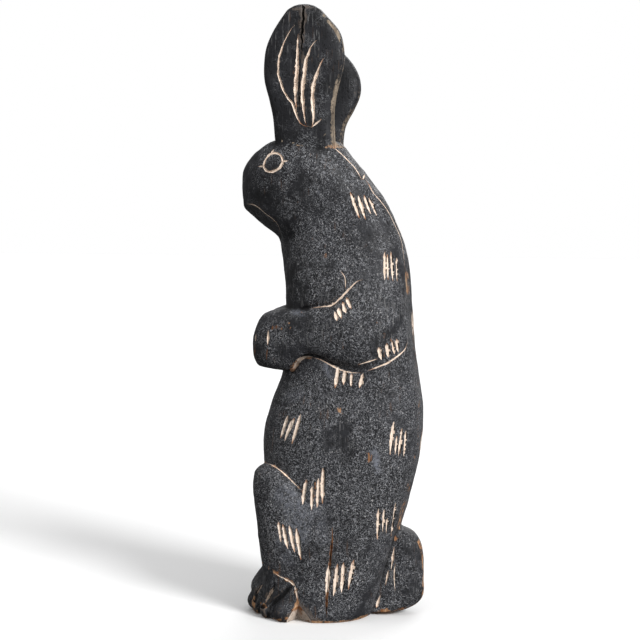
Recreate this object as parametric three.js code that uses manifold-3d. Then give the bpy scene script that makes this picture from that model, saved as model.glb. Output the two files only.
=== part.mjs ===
// A carved wooden rabbit sitting up, 560 mm tall, cut from one block of wood.
// Millimetres, +Z up. The rabbit faces -Y, its left side is +X, and it stands on Z = 0 with the
// origin under the middle of its bounding box.
import * as THREE from "three";
import { mergeVertices } from "three/addons/utils/BufferGeometryUtils.js";
import Module from "manifold-3d";

// ---- driving dimensions ----
const HEIGHT = 560; // ground to the tip of the left ear
const BACK_SHIFT = 0.15; // moves the whole figure along Y so that the origin is mid-box
const EAR_THICK = 26; // each ear is a slab this thick
const EAR_GAP = 10; // between the two ears where they leave the head
const EAR_SPLAY = 4; // how far each ear's tip leans out
const RIGHT_EAR_HEIGHT = 541; // the right ear is shorter and stands further back
const TOES = 4; // on each foot
const TOE_GROOVE_DEPTH = 6;
const FOOT_CENTRE_Y = -25; // middle of the ellipse that both feet make
const FOOT_HALF_X = 60;
const FOOT_HALF_Y = 54;
const TAIL_HALF_X = 18.5;
const GROUND_CUT = 40; // how far the lofts run on under the ground before they are cut flat

// Cross sections of the body from the ground to the crown, one row for each height:
// [height, front, back, half width, squareness in front, squareness behind]
const BODY = [
  [-40, -40, 30, 44, 2.3, 2.2],
  [0, -49, 38.5, 54.5, 2.4, 2.3], // the worn edge at the ground
  [5, -51, 41.5, 57, 2.4, 2.3],
  [30, -53, 48.5, 58.5, 2.4, 2.4],
  [66, -55, 58.5, 59, 2.4, 2.6], // haunch
  [104, -59, 69.5, 58, 2.4, 2.8],
  [142, -64, 78.5, 55.5, 2.3, 3.0],
  [170, -63.5, 82.3, 52.5, 2.3, 3.1], // the fullest part of the belly and back
  [198, -56, 82.3, 49.5, 2.4, 3.2],
  [222, -47, 78.5, 47, 2.4, 3.3], // waist
  [250, -43.5, 74.3, 47, 2.4, 3.3],
  [285, -43, 71.2, 50.5, 2.4, 3.2], // chest and shoulders
  [310, -44.5, 69.7, 48.5, 2.3, 3.1],
  [334, -47.5, 66.2, 42, 2.2, 3.1], // throat
  [350, -52.5, 61.5, 37.5, 2.1, 3.0],
  [362, -71, 56.5, 36.5, 2.0, 2.9], // chin
  [372, -81, 52, 37, 1.9, 2.8],
  [384, -84, 45.5, 38.5, 1.9, 2.7],
  [397, -85, 36, 39, 1.95, 2.7], // muzzle and cheeks
  [410, -84, 26.5, 38.5, 2.0, 2.6],
  [422, -76, 16, 36, 2.1, 2.6],
  [433, -62, 7, 31, 2.1, 2.6], // brow
  [442, -46, -2, 24, 2.2, 2.6],
];
const CROWN_CAP = 7; // the body closes over this height at the top

// The left ear and the right one: [height, front edge, back edge]
const LEFT_EAR = [
  [405, -43, 6],
  [438, -50.6, 4.2],
  [458, -52, 3.2],
  [474, -55.6, 5],
  [492, -60, 9.3],
  [507, -60.3, 13],
  [521, -58.2, 12],
  [536, -51.5, 6.5],
  [549, -41.5, -5],
  [557, -33, -13],
];
const RIGHT_EAR = [
  [405, -43, 6],
  [438, -49.5, 6],
  [452, -50.5, 8.5],
  [465, -51.5, 15.2],
  [477, -52.5, 20.6],
  [487, -53, 21.8],
  [498, -52, 19.6],
  [508, -49.5, 14.2],
  [518, -45, 5.5],
  [529, -38, -6],
  [537, -31, -14],
];
const EAR_CAP = 9;

// An arm from the paw back to the elbow:
// [y, underside, top, inner x, outer x]
const ARM = [
  [-74, 229, 270, 3, 33],
  [-64, 227, 276.5, 3, 39],
  [-52, 226.3, 282.5, 3, 43],
  [-38, 227, 286.5, 3, 46],
  [-28, 232, 287.5, 8, 48.5],
  [-18, 241, 287.5, 12, 50.5],
  [-4, 240, 288, 14, 52.2],
  [12, 234.5, 291, 14, 53.3],
  [26, 230, 297, 14, 53.3],
  [40, 230, 296, 14, 51.3],
  [54, 236, 290, 14, 46.5],
  [66, 244, 280, 14, 39.5],
];
const ARM_CAP = 11;

// A leg from the ground to the knee: [height, front, back, inner x, outer x]
const LEG = [
  [-30, -56, 12, 4, 54],
  [0, -57, 14, 4, 55],
  [30, -58.5, 16, 3.5, 59],
  [52, -60.5, 16, 3.5, 60],
  [75, -63.5, 14, 3.5, 60.3],
  [98, -66.8, 6, 4, 59.8],
  [117, -68.6, -8, 4.5, 57.5],
  [130, -67.5, -22, 6, 55],
  [139, -65, -33, 8, 51.5],
];
const LEG_CAP = 8;

// The feet, as a part of the ellipse that they stand in: [height, scale]
const FEET = [
  [-20, 0.86],
  [0, 0.93],
  [5, 0.98],
  [14, 1.01],
  [24, 1.0],
  [33, 0.915],
  [41, 0.8],
  [49, 0.68],
];
const FEET_CAP = 8;

// The tail, a rounded slab against the back: [height, front, back]
const TAIL = [
  [0.4, 20, 73],
  [8, 20, 80.5],
  [22, 22, 84.3],
  [42, 26, 84.6],
  [57, 32, 82.6],
  [68, 40, 77.5],
  [76, 48, 71],
];
const TAIL_CAP = 9;
const TAIL_FOOT = 5; // its underside is rounded, just clear of the ground

// ---- the library that joins and cuts ----
const wasm = await Module();
wasm.setup();

function solid(geometry) {
  const bare = geometry.clone();
  bare.deleteAttribute("normal");
  bare.deleteAttribute("uv");
  const merged = mergeVertices(bare, 1e-4);
  const made = new wasm.Manifold(
    new wasm.Mesh({
      numProp: 3,
      vertProperties: new Float32Array(merged.attributes.position.array),
      triVerts: new Uint32Array(merged.index.array),
    }),
  );
  return made;
}

function mirrored(geometry) {
  const g = geometry.clone().applyMatrix4(new THREE.Matrix4().makeScale(-1, 1, 1));
  const index = g.index;
  for (let i = 0; i < index.count; i += 3) {
    const b = index.getX(i + 1);
    index.setX(i + 1, index.getX(i + 2));
    index.setX(i + 2, b);
  }
  return g;
}

// ---- curves through the tables ----
// A smooth value of column k of a table at u, where column 0 is the position.
function along(table, k) {
  const n = table.length;
  const slope = table.map((row, i) => {
    const a = table[Math.max(i - 1, 0)],
      b = table[Math.min(i + 1, n - 1)];
    return (b[k] - a[k]) / (b[0] - a[0]);
  });
  return (u) => {
    let i = 0;
    while (i < n - 2 && u > table[i + 1][0]) i++;
    const h = table[i + 1][0] - table[i][0];
    const s = THREE.MathUtils.clamp((u - table[i][0]) / h, 0, 1);
    const s2 = s * s,
      s3 = s2 * s;
    return (
      (2 * s3 - 3 * s2 + 1) * table[i][k] +
      (s3 - 2 * s2 + s) * h * slope[i] +
      (3 * s2 - 2 * s3) * table[i + 1][k] +
      (s3 - s2) * h * slope[i + 1]
    );
  };
}

// How far a rounded end has closed: 0 at the tip, 1 from cap on.
const closing = (d, cap) =>
  d >= cap ? 1 : Math.sqrt(Math.max(0, 1 - (1 - d / cap) ** 2));

// A closed loft: the rings of a sphere become cross sections. section(u) gives
// [cx, cy, half x, half y, squareness for y < 0, squareness for y > 0], and place
// puts a point of the section plane at u into space.
function loft(from, to, rings, around, capFrom, capTo, section, place) {
  const g = new THREE.SphereGeometry(1, around, rings);
  const p = g.attributes.position;
  for (let i = 0; i < p.count; i++) {
    const lat = Math.acos(THREE.MathUtils.clamp(-p.getY(i), -1, 1)) / Math.PI;
    const even = lat,
      eased = (1 - Math.cos(Math.PI * lat)) / 2;
    const t = 0.6 * even + 0.4 * eased;
    const u = from + (to - from) * t;
    const [cx, cy, hx, hy, n0, n1] = section(u);
    const r = Math.hypot(p.getX(i), p.getZ(i));
    let c = 0,
      s = 0,
      k = 0;
    if (r > 1e-6) {
      c = p.getX(i) / r;
      s = -p.getZ(i) / r;
      const n = s < 0 ? n0 : n1;
      k = (Math.abs(c) ** n + Math.abs(s) ** n) ** (-1 / n);
      if (capFrom) k *= closing(u - from, capFrom);
      if (capTo) k *= closing(to - u, capTo);
    }
    const q = place(cx + hx * c * k, cy + hy * s * k, u);
    p.setXYZ(i, q[0], q[1], q[2]);
  }
  return g;
}

const upright = (x, y, u) => [x, y, u];
const lying = (x, z, u) => [x, u, z]; // the section plane faces along Y

// ---- the masses of the figure ----
function bodyMass() {
  const [front, back, half, nf, nb] = [1, 2, 3, 4, 5].map((k) => along(BODY, k));
  const top = BODY.at(-1)[0];
  return solid(
    loft(-GROUND_CUT, top, 44, 40, 0, CROWN_CAP, (z) => [
      0, (front(z) + back(z)) / 2, half(z), (back(z) - front(z)) / 2, nf(z), nb(z),
    ], upright),
  );
}

// Half the thickness of an ear at a part of its height.
const earHalf = (up) => (EAR_THICK / 2) * (1 - 0.36 * up ** 3);

// The outer face of an ear at (y, z): how far out it lies.
function earFace(table, tip, y, z) {
  const up = (z - table[0][0]) / (tip - table[0][0]);
  const f = along(table, 1)(z),
    b = along(table, 2)(z);
  const off = Math.abs(y - (f + b) / 2) / ((b - f) / 2);
  return EAR_GAP / 2 + EAR_THICK / 2 + EAR_SPLAY * up + earHalf(up) * (1 - Math.min(off, 1) ** 3.4) ** (1 / 3.4);
}

function earMass(table, tip, side) {
  const [f, b] = [1, 2].map((k) => along(table, k));
  const base = table[0][0];
  const g = loft(base, tip, 22, 20, 0, EAR_CAP, (z) => {
    const up = (z - base) / (tip - base);
    return [
      EAR_GAP / 2 + EAR_THICK / 2 + EAR_SPLAY * up, (f(z) + b(z)) / 2, earHalf(up), (b(z) - f(z)) / 2, 3.2, 3.6,
    ];
  }, upright);
  return solid(side < 0 ? mirrored(g) : g);
}

function armMass(side) {
  const [lo, hi, xi, xo] = [1, 2, 3, 4].map((k) => along(ARM, k));
  const from = ARM[0][0],
    to = ARM.at(-1)[0];
  const g = loft(from, to, 22, 20, ARM_CAP, ARM_CAP, (y) => [
    (xi(y) + xo(y)) / 2, (lo(y) + hi(y)) / 2, (xo(y) - xi(y)) / 2, (hi(y) - lo(y)) / 2, 2.8, 2.6,
  ], lying);
  // Swapping two axes turns the faces round, and the mirror turns them back.
  return solid(side < 0 ? turned(mirrored(g)) : turned(g));
}

function turned(g) {
  const index = g.index;
  for (let i = 0; i < index.count; i += 3) {
    const b = index.getX(i + 1);
    index.setX(i + 1, index.getX(i + 2));
    index.setX(i + 2, b);
  }
  return g;
}

function legMass(side) {
  const [f, b, xi, xo] = [1, 2, 3, 4].map((k) => along(LEG, k));
  const from = LEG[0][0],
    to = LEG.at(-1)[0] + 3;
  const g = loft(from, to, 18, 20, 0, LEG_CAP, (z) => [
    (xi(z) + xo(z)) / 2, (f(z) + b(z)) / 2, (xo(z) - xi(z)) / 2, (b(z) - f(z)) / 2, 2.5, 2.2,
  ], upright);
  return solid(side < 0 ? mirrored(g) : g);
}

function feetMass() {
  const s = along(FEET, 1);
  const from = FEET[0][0],
    to = FEET.at(-1)[0] + 4;
  return solid(
    loft(from, to, 13, 40, 0, FEET_CAP, (z) => [
      0, FOOT_CENTRE_Y, FOOT_HALF_X * s(z), FOOT_HALF_Y * s(z), 2.15, 2.0,
    ], upright),
  );
}

function tailMass() {
  const [f, b] = [1, 2].map((k) => along(TAIL, k));
  const from = TAIL[0][0],
    to = TAIL.at(-1)[0] + 10;
  return solid(
    loft(from, to, 16, 22, TAIL_FOOT, TAIL_CAP, (z) => [
      0, (f(z) + b(z)) / 2, TAIL_HALF_X * (1 - 0.12 * Math.max(0, z / 90)), (b(z) - f(z)) / 2, 2.4, 2.7,
    ], upright),
  );
}

// ---- cuts ----
// A V cut from a to b: a long double pyramid whose ridge lies depth under the line, with
// out the way off the surface.
function groove(points, out, depth, width) {
  const curve = new THREE.CatmullRomCurve3(points.map((q) => new THREE.Vector3(...q)));
  const steps = Math.max(4, points.length * 2);
  const g = new THREE.CylinderGeometry(1, 1, 1, 3, steps);
  const p = g.attributes.position;
  const o0 = new THREE.Vector3(...out).normalize();
  for (let i = 0; i < p.count; i++) {
    const t = p.getY(i) + 0.5;
    const at = curve.getPoint(t),
      way = curve.getTangent(t);
    const o = o0.clone().addScaledVector(way, -o0.dot(way)).normalize();
    const side = new THREE.Vector3().crossVectors(way, o);
    const full = Math.max(0.05, Math.sin(Math.PI * t) ** 0.6);
    const r = Math.hypot(p.getX(i), p.getZ(i));
    if (r < 1e-6) {
      p.setXYZ(i, at.x, at.y, at.z);
      continue;
    }
    // corner 0 is the bottom of the V, the other two are over the surface
    const corner = Math.round((Math.atan2(p.getX(i), p.getZ(i)) / (2 * Math.PI)) * 3 + 3) % 3;
    const [s, h] = corner === 0 ? [0, -depth] : [corner === 1 ? width : -width, depth];
    at.addScaledVector(side, s * full).addScaledVector(o, h * full);
    p.setXYZ(i, at.x, at.y, at.z);
  }
  let made = solid(g);
  if (made.volume() < 0) made = solid(turned(g));
  return made;
}

const cuts = [];
const both = (points, out, depth, width) => {
  cuts.push(groove(points, out, depth, width));
  cuts.push(
    groove(points.map(([x, y, z]) => [-x, y, z]), [-out[0], out[1], out[2]], depth, width),
  );
};

// between the feet, between the shins and between the paws
cuts.push(groove([[0, -84, -8], [0, -80, 20], [0, -67, 40], [0, -60, 54]], [0, -1, 0.4], 16, 11));
cuts.push(groove([[0, -75, 296], [0, -78, 264], [0, -77, 240], [0, -66, 214]], [0, -1, 0], 13, 6));

// toes: radial grooves down the front of each foot, on the ellipse
for (let i = 1; i < TOES; i++) {
  const a = THREE.MathUtils.degToRad(8 + (i * 72) / TOES);
  const at = (z, s) => [
    FOOT_HALF_X * s * Math.sin(a), FOOT_CENTRE_Y - FOOT_HALF_Y * s * Math.cos(a), z,
  ];
  both([at(-10, 0.93), at(4, 1.0), at(16, 1.03), at(27, 1.01), at(38, 0.9)], [Math.sin(a), -Math.cos(a), 0.3], TOE_GROOVE_DEPTH, 5);
}

// the notch behind each foot
both([[44, -31, -10], [56, -29, 8], [59, -28, 24], [60, -33, 38]], [1, -0.2, 0], 9, 4.5);

// fingers: three grooves round the outer side of each paw
for (const [x, y, ox, oy] of [[43.4, -52, 1, -0.25], [38.3, -66, 0.75, -0.65], [25, -73.2, 0.2, -1]])
  both([[x - ox, y - oy, 275], [x, y, 262], [x, y, 246], [x - ox * 1.5, y - oy * 1.5, 231]], [ox, oy, 0], 3, 2.8);

// long flutes on the outer face of each ear, [y, height] down each one
const LEFT_FLUTES = [
  [[-28, 526], [-31, 498], [-33, 470], [-31, 461]],
  [[-14, 522], [-22, 498], [-25, 470], [-21, 449]],
  [[-5, 507], [-13, 486], [-16, 464], [-17, 447]],
];
const RIGHT_FLUTES = [
  [[-28, 512], [-31, 486], [-32, 460]],
  [[-16, 514], [-21, 488], [-23, 464], [-21, 450]],
  [[-4, 500], [-11, 478], [-14, 452]],
];
for (const [flutes, table, tip, side] of [
  [LEFT_FLUTES, LEFT_EAR, HEIGHT, 1],
  [RIGHT_FLUTES, RIGHT_EAR, RIGHT_EAR_HEIGHT, -1],
])
  for (const flute of flutes)
    cuts.push(
      groove(flute.map(([y, z]) => [side * (earFace(table, tip, y, z) + 0.3), y, z]), [side, 0, 0], 2.6, 2.6),
    );

// ---- joining ----
let figure = bodyMass();
for (const m of [
  earMass(LEFT_EAR, HEIGHT, 1),
  earMass(RIGHT_EAR, RIGHT_EAR_HEIGHT, -1),
  armMass(1),
  armMass(-1),
  legMass(1),
  legMass(-1),
  feetMass(),
  tailMass(),
])
  figure = figure.add(m);
for (const c of cuts) figure = figure.subtract(c);

// flat underside
const under = new THREE.BoxGeometry(400, 400, 200).translate(0, 0, -100);
figure = figure.subtract(solid(under));

const out = figure.getMesh();
const geometry = new THREE.BufferGeometry();
const flat = new Float32Array(out.numVert * 3);
for (let i = 0; i < out.numVert; i++)
  for (let j = 0; j < 3; j++) flat[i * 3 + j] = out.vertProperties[i * out.numProp + j];
geometry.setAttribute("position", new THREE.BufferAttribute(flat, 3));
geometry.setIndex(new THREE.BufferAttribute(new Uint32Array(out.triVerts), 1));
geometry.translate(0, BACK_SHIFT, 0);
geometry.computeVertexNormals();

const blackenedWood = new THREE.MeshStandardMaterial({
  color: 0x3b3b3f,
  roughness: 0.72,
  metalness: 0,
});
const rabbit = new THREE.Mesh(geometry, blackenedWood);
rabbit.name = "carved_rabbit";

const group = new THREE.Group();
group.add(rabbit);
export default group;
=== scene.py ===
# A carved wooden rabbit sitting up: its looks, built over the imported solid.
# Lengths in the tables are millimetres in the row frame less BACK_SHIFT along Y; the meshes are metres.
import math

import bmesh
import bpy
import numpy as np
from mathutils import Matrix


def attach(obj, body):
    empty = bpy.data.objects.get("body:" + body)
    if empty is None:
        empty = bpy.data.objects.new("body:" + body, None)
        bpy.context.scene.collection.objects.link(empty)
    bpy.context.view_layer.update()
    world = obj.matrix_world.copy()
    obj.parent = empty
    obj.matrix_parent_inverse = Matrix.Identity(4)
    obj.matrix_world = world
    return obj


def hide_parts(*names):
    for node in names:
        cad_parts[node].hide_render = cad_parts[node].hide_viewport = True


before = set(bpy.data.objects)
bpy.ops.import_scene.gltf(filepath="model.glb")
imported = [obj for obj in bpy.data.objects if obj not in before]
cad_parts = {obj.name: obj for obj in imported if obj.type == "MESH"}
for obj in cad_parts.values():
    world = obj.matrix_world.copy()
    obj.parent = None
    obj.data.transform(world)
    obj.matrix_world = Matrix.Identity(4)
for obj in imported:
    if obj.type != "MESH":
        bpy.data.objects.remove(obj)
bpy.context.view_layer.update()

import openvdb
from mathutils import Matrix, Vector
from mathutils.bvhtree import BVHTree
from mathutils.kdtree import KDTree

BACK_SHIFT = 0.15  # as in part.mjs
STEP = 1.25  # pitch of the sculpting grid
TRIANGLES = 126000  # of the carved surface before its cuts, which add about half as many

# ---------------------------------------------------------------- camera
CAM_AZ, CAM_EL = math.radians(100), math.radians(5)
EYE = np.array([1716.855, 290.083, 424.168])  # in the tables' frame
FOCAL_PX = 1887.288  # for a frame 640 wide
BACK = np.array([math.sin(CAM_AZ) * math.cos(CAM_EL), -math.cos(CAM_AZ) * math.cos(CAM_EL), math.sin(CAM_EL)])
RIGHT = np.array([math.cos(CAM_AZ), math.sin(CAM_AZ), 0.0])
UP = np.cross(BACK, RIGHT)


def pixel_ray(x, y):
    d = RIGHT * (x - 320) / FOCAL_PX + UP * (320 - y) / FOCAL_PX - BACK
    return d / np.linalg.norm(d)


def to_pixel(p):
    q = p - EYE
    depth = -(q @ BACK)
    return np.stack([320 + FOCAL_PX * (q @ RIGHT) / depth, 320 - FOCAL_PX * (q @ UP) / depth], -1)


# ---------------------------------------------------------------- noise
def _hash(ix, iy, iz, seed):
    h = (ix.astype(np.uint32) * np.uint32(374761393)) ^ (iy.astype(np.uint32) * np.uint32(668265263))
    h = h ^ (iz.astype(np.uint32) * np.uint32(2246822519)) ^ np.uint32((seed * 3266489917) & 0xFFFFFFFF)
    h = (h ^ (h >> np.uint32(15))) * np.uint32(2246822519)
    h = (h ^ (h >> np.uint32(13))) * np.uint32(3266489917)
    h = h ^ (h >> np.uint32(16))
    return h.astype(np.float64) / 4294967295.0


def noise(p, size, seed=0, stretch=(1, 1, 1)):
    """Smooth noise from -1 to 1 at points p, whose lumps are about size across."""
    q = p / (np.array(stretch, float) * size)
    i = np.floor(q)
    f = q - i
    i = i.astype(np.int64) + 4096
    w = f * f * f * (f * (f * 6 - 15) + 10)
    out = 0
    for a in (0, 1):
        for b in (0, 1):
            for c in (0, 1):
                v = _hash(i[:, 0] + a, i[:, 1] + b, i[:, 2] + c, seed)
                out = out + v * (w[:, 0] if a else 1 - w[:, 0]) * (w[:, 1] if b else 1 - w[:, 1]) * (w[:, 2] if c else 1 - w[:, 2])
    return out * 2 - 1


def facets(p, size, seed, stretch=(1, 1, 1)):
    """How far each point is from the middle of its tool mark, squared, from 0 to about 1."""
    q = p / (np.array(stretch, float) * size)
    i = np.floor(q).astype(np.int64)
    best = np.full(len(q), 9.0)
    for a in (-1, 0, 1):
        for b in (-1, 0, 1):
            for c in (-1, 0, 1):
                j = i + np.array([a, b, c])
                k = j + 4096
                at = np.stack([j[:, n] + 0.5 + 0.8 * (_hash(k[:, 0], k[:, 1], k[:, 2], seed + n) - 0.5) for n in range(3)], 1)
                best = np.minimum(best, ((q - at) ** 2).sum(1))
    return np.clip(best, 0, 1)


def smooth01(x, a, b):
    t = np.clip((x - a) / (b - a), 0, 1)
    return t * t * (3 - 2 * t)


# ---------------------------------------------------------------- the masses: the tables of part.mjs, some moved a few mm to meet the photograph
HEIGHT = 560
EAR_THICK = 26
EAR_GAP = 10
EAR_SPLAY = 4
RIGHT_EAR_HEIGHT = 541
BODY = [
    [-40, -40, 30, 44, 2.3, 2.2], [0, -49, 38.5, 54.5, 2.4, 2.3], [5, -51, 41.5, 57, 2.4, 2.3],
    [30, -53, 48.5, 58.5, 2.4, 2.4], [66, -55, 58.5, 59, 2.4, 2.6], [104, -59, 69.5, 58, 2.4, 2.8],
    [142, -64, 78.5, 55.5, 2.3, 3.0], [170, -64, 82.3, 52.5, 2.3, 3.1], [198, -56.5, 82.3, 49.5, 2.4, 3.2],
    [222, -47.3, 78.5, 47, 2.4, 3.3], [250, -43.5, 74.5, 47, 2.4, 3.3], [285, -43, 71.8, 50.5, 2.4, 3.2],
    [310, -44.5, 70.6, 48.5, 2.3, 3.1], [334, -47.5, 67.2, 42, 2.2, 3.1], [350, -52.5, 62.6, 37.5, 2.1, 3.0],
    [362, -71.5, 57.6, 36.5, 2.0, 2.9], [372, -82, 53.2, 37, 1.9, 2.8], [384, -85, 46.6, 38.5, 1.9, 2.7],
    [397, -86, 37, 39, 1.95, 2.7], [410, -85, 27.4, 38.5, 2.0, 2.6], [422, -77.5, 17, 36, 2.1, 2.6],
    [433, -63.5, 8, 31, 2.1, 2.6], [442, -47, -1, 24, 2.2, 2.6],
]
LEFT_EAR = [
    [405, -43, 6], [438, -50.6, 4.2], [458, -52, 3.2], [474, -55.6, 5], [492, -60, 9.3],
    [507, -60.3, 13], [521, -58.2, 12.6], [536, -51.5, 8.3], [549, -43, -2.6], [557, -36.5, -10.2],
]
RIGHT_EAR = [
    [405, -43, 6], [438, -49.5, 6], [452, -50.5, 8.5], [465, -51.5, 15.2], [477, -52.5, 20.6], [487, -53, 21.8],
    [498, -52, 19.6], [508, -49.5, 14.2], [518, -45, 5.5], [529, -38, -6], [537, -31, -14],
]
ARM = [
    [-71, 236, 262, 3, 34], [-66, 231.5, 272, 3, 38.5], [-60, 229.8, 279, 3, 41.5], [-54, 228.8, 282, 3, 43.8],
    [-46, 227.6, 284.4, 3, 45.3], [-38, 227.2, 285, 3, 46.8], [-28, 232, 285.6, 8, 49.5], [-18, 241, 286.5, 12, 52],
    [-4, 240, 288, 14, 54], [12, 234.5, 291, 14, 55], [26, 230, 296.5, 14, 54.5], [40, 230, 296, 14, 52],
    [54, 236, 290, 14, 46.5], [66, 244, 280, 14, 39.5],
]
LEG = [
    [-30, -56, 12, 4, 54], [0, -57, 14, 4, 55], [30, -58.5, 16, 3.5, 59], [52, -60.5, 16, 3.5, 60],
    [75, -63.5, 14, 3.5, 60.3], [98, -66.8, 6, 4, 59.8], [117, -69, -8, 4.5, 57.5], [130, -68.6, -22, 6, 55],
    [139, -67, -33, 8, 51.5],
]
FEET = [[-20, 0.80], [0, 0.84], [6, 0.88], [14, 0.93], [24, 0.955], [33, 0.865], [41, 0.757], [49, 0.65]]
FOOT_Y, FOOT_HX, FOOT_HY = -25, 60, 54
TAIL = [
    [0.4, 20, 58], [4, 20, 69], [7, 20, 76], [12, 20.5, 82.3], [18, 21, 85], [26, 22, 85.6], [43, 26, 85.5], [53, 30, 84.8],
    [60, 34, 83.6], [67, 39, 81], [72, 43, 77.8], [76, 46, 74], [80, 50, 68],
]
TAIL_HALF_X = 18.5


def along(table, k):
    t = np.array(table, float)
    u0, v = t[:, 0], t[:, k]
    n = len(t)
    lo, hi = np.maximum(np.arange(n) - 1, 0), np.minimum(np.arange(n) + 1, n - 1)
    slope = (v[hi] - v[lo]) / (u0[hi] - u0[lo])

    def f(u):
        u = np.asarray(u, float)
        i = np.clip(np.searchsorted(u0, u, side="left") - 1, 0, n - 2)
        h = u0[i + 1] - u0[i]
        s = np.clip((u - u0[i]) / h, 0, 1)
        s2, s3 = s * s, s * s * s
        return (2 * s3 - 3 * s2 + 1) * v[i] + (s3 - 2 * s2 + s) * h * slope[i] + (3 * s2 - 2 * s3) * v[i + 1] + (s3 - s2) * h * slope[i + 1]

    return f


def closing(d, cap):
    return np.sqrt(np.clip(1 - (1 - np.clip(d / cap, 0, 1)) ** 2, 0, 1)) if cap else np.where(d >= 0, 1.0, 0.0)


# ---------------------------------------------------------------- the sculpting grid
LOW, HIGH = np.array([-67.0, -93.0, -8.0]), np.array([67.0, 93.0, 567.0])
N = np.ceil((HIGH - LOW) / STEP).astype(int) + 1
AX = [LOW[k] + STEP * np.arange(N[k]) for k in range(3)]
FAR = 30.0
field = np.full(N, FAR, np.float32)


def window(lo, hi):
    """The part of the grid inside a box, and its coordinates for broadcasting."""
    s = tuple(slice(max(0, int(math.floor((lo[k] - LOW[k]) / STEP))), min(N[k], int(math.ceil((hi[k] - LOW[k]) / STEP)) + 1)) for k in range(3))
    return s, AX[0][s[0]][:, None, None].astype(np.float32), AX[1][s[1]][None, :, None].astype(np.float32), AX[2][s[2]][None, None, :].astype(np.float32)


def smin(a, b, k):
    h = np.maximum(k - np.abs(a - b), 0) / k
    return np.minimum(a, b) - h * h * k * 0.25


def smax(a, b, k):
    h = np.maximum(k - np.abs(a - b), 0) / k
    return np.maximum(a, b) + h * h * k * 0.25


def section(p, q, cp, cq, hp, hq, n0, n1):
    """Distance to a squared ellipse in the plane of p and q, measured from its middle."""
    dp, dq = np.abs(p - cp), q - cq
    n = np.where(dq < 0, n0, n1)
    k = ((dp / hp) ** n + (np.abs(dq) / hq) ** n) ** (1 / n)
    return (np.sqrt(dp * dp + dq * dq) * (1 - 1 / np.maximum(k, 1e-3))).astype(np.float32)


def upright(lo, hi, span, cap_top, at, cap_low=0.0, both=False, mirror=False):
    """Distance to a loft whose sections lie flat, one for each height of span, rounded off over cap_top and cap_low."""
    s, x, y, z = window(lo, hi)
    zz = z.ravel().astype(float)
    z0, z1 = span
    zc = np.clip(zz, z0, z1)
    cp, cq, hp, hq, n0, n1 = (np.asarray(v, float) * np.ones_like(zc) for v in at(zc))
    c = np.ones_like(zc)
    if cap_top:
        c = c * np.maximum(closing(z1 - zc, cap_top), 0.02)
    if cap_low:
        c = c * np.maximum(closing(zc - z0, cap_low), 0.02)
    b = lambda v: v[None, None, :].astype(np.float32)
    xs = np.abs(x) if both else (-x if mirror else x)
    d = section(xs, y, b(cp), b(cq), b(hp * c), b(hq * c), b(n0), b(n1))
    d = np.maximum(d, np.maximum(z - z1, z0 - z))
    return s, d, (x, y, z)


def put(s, d, k):
    field[s] = smin(field[s], d, k)


def cut(s, d, k):
    field[s] = smax(field[s], -d, k)


def tube(points, radius):
    """Distance to a bent rod of varying radius."""
    P = np.array(points, float)
    R = np.broadcast_to(np.array(radius, float), (len(P),))
    m = R.max() + 6
    s, x, y, z = window(P.min(0) - m, P.max(0) + m)
    out = np.full(np.broadcast_shapes(x.shape, y.shape, z.shape), FAR, np.float32)
    for a, b, ra, rb in zip(P[:-1], P[1:], R[:-1], R[1:]):
        ab = b - a
        t = ((x - a[0]) * ab[0] + (y - a[1]) * ab[1] + (z - a[2]) * ab[2]) / max(1e-9, ab @ ab)
        t = np.clip(t, 0, 1)
        d = np.sqrt((x - a[0] - t * ab[0]) ** 2 + (y - a[1] - t * ab[1]) ** 2 + (z - a[2] - t * ab[2]) ** 2) - (ra + (rb - ra) * t)
        out = np.minimum(out, d)
    return s, out


def on_both(points):
    return [points, [[-x, y, z] for x, y, z in points]]


# body
front, back, half, nf, nb = (along(BODY, k) for k in (1, 2, 3, 4, 5))
body_at = lambda z: (0, (front(z) + back(z)) / 2, half(z), (back(z) - front(z)) / 2, nf(z), nb(z))
s, d, (x, y, z) = upright(LOW, HIGH, (-40, 442), 7, body_at)
# the head narrows to the nose, and its underside is two planes that meet in a keel
narrow = 1 - 0.16 * smooth01(-y, 52, 84) * smooth01(z, 366, 384)
d = d + np.where((z > 350) & (y < -40), 0.8 * np.abs(x) * (1 / narrow - 1), 0).astype(np.float32)
chin = 0.469 * np.abs(x) - 0.587 * y - 0.660 * z + 198.1
chin = chin - 0.9 * np.maximum(0, 349 - z) - 0.8 * np.maximum(0, y + 47)
d = smax(d, chin.astype(np.float32), 1.0)
put(s, d, 0.01)

# legs: a crisp step at the knee that fades into the haunch further down and back
lf, lb, lxi, lxo = (along(LEG, k) for k in (1, 2, 3, 4))
leg_at = lambda z: ((lxi(z) + lxo(z)) / 2, (lf(z) + lb(z)) / 2, (lxo(z) - lxi(z)) / 2, (lb(z) - lf(z)) / 2, 2.5, 2.2)
s, d, (x, y, z) = upright((-67, -80, -8), (67, 30, 150), (-30, 142), 8, leg_at, both=True)
soft = 1.6 + 11 * smooth01(y + 0.35 * (118 - z), -20, 12) * np.ones_like(d)
put(s, d, soft)

# feet
fs = along(FEET, 1)
foot_at = lambda z: (0, FOOT_Y, FOOT_HX * fs(z), FOOT_HY * fs(z), 2.15, 2.0)
s, d, (x, y, z) = upright((-67, -88, -8), (67, 36, 58), (-20, 53), 8, foot_at)
put(s, d, 1.5)

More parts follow.
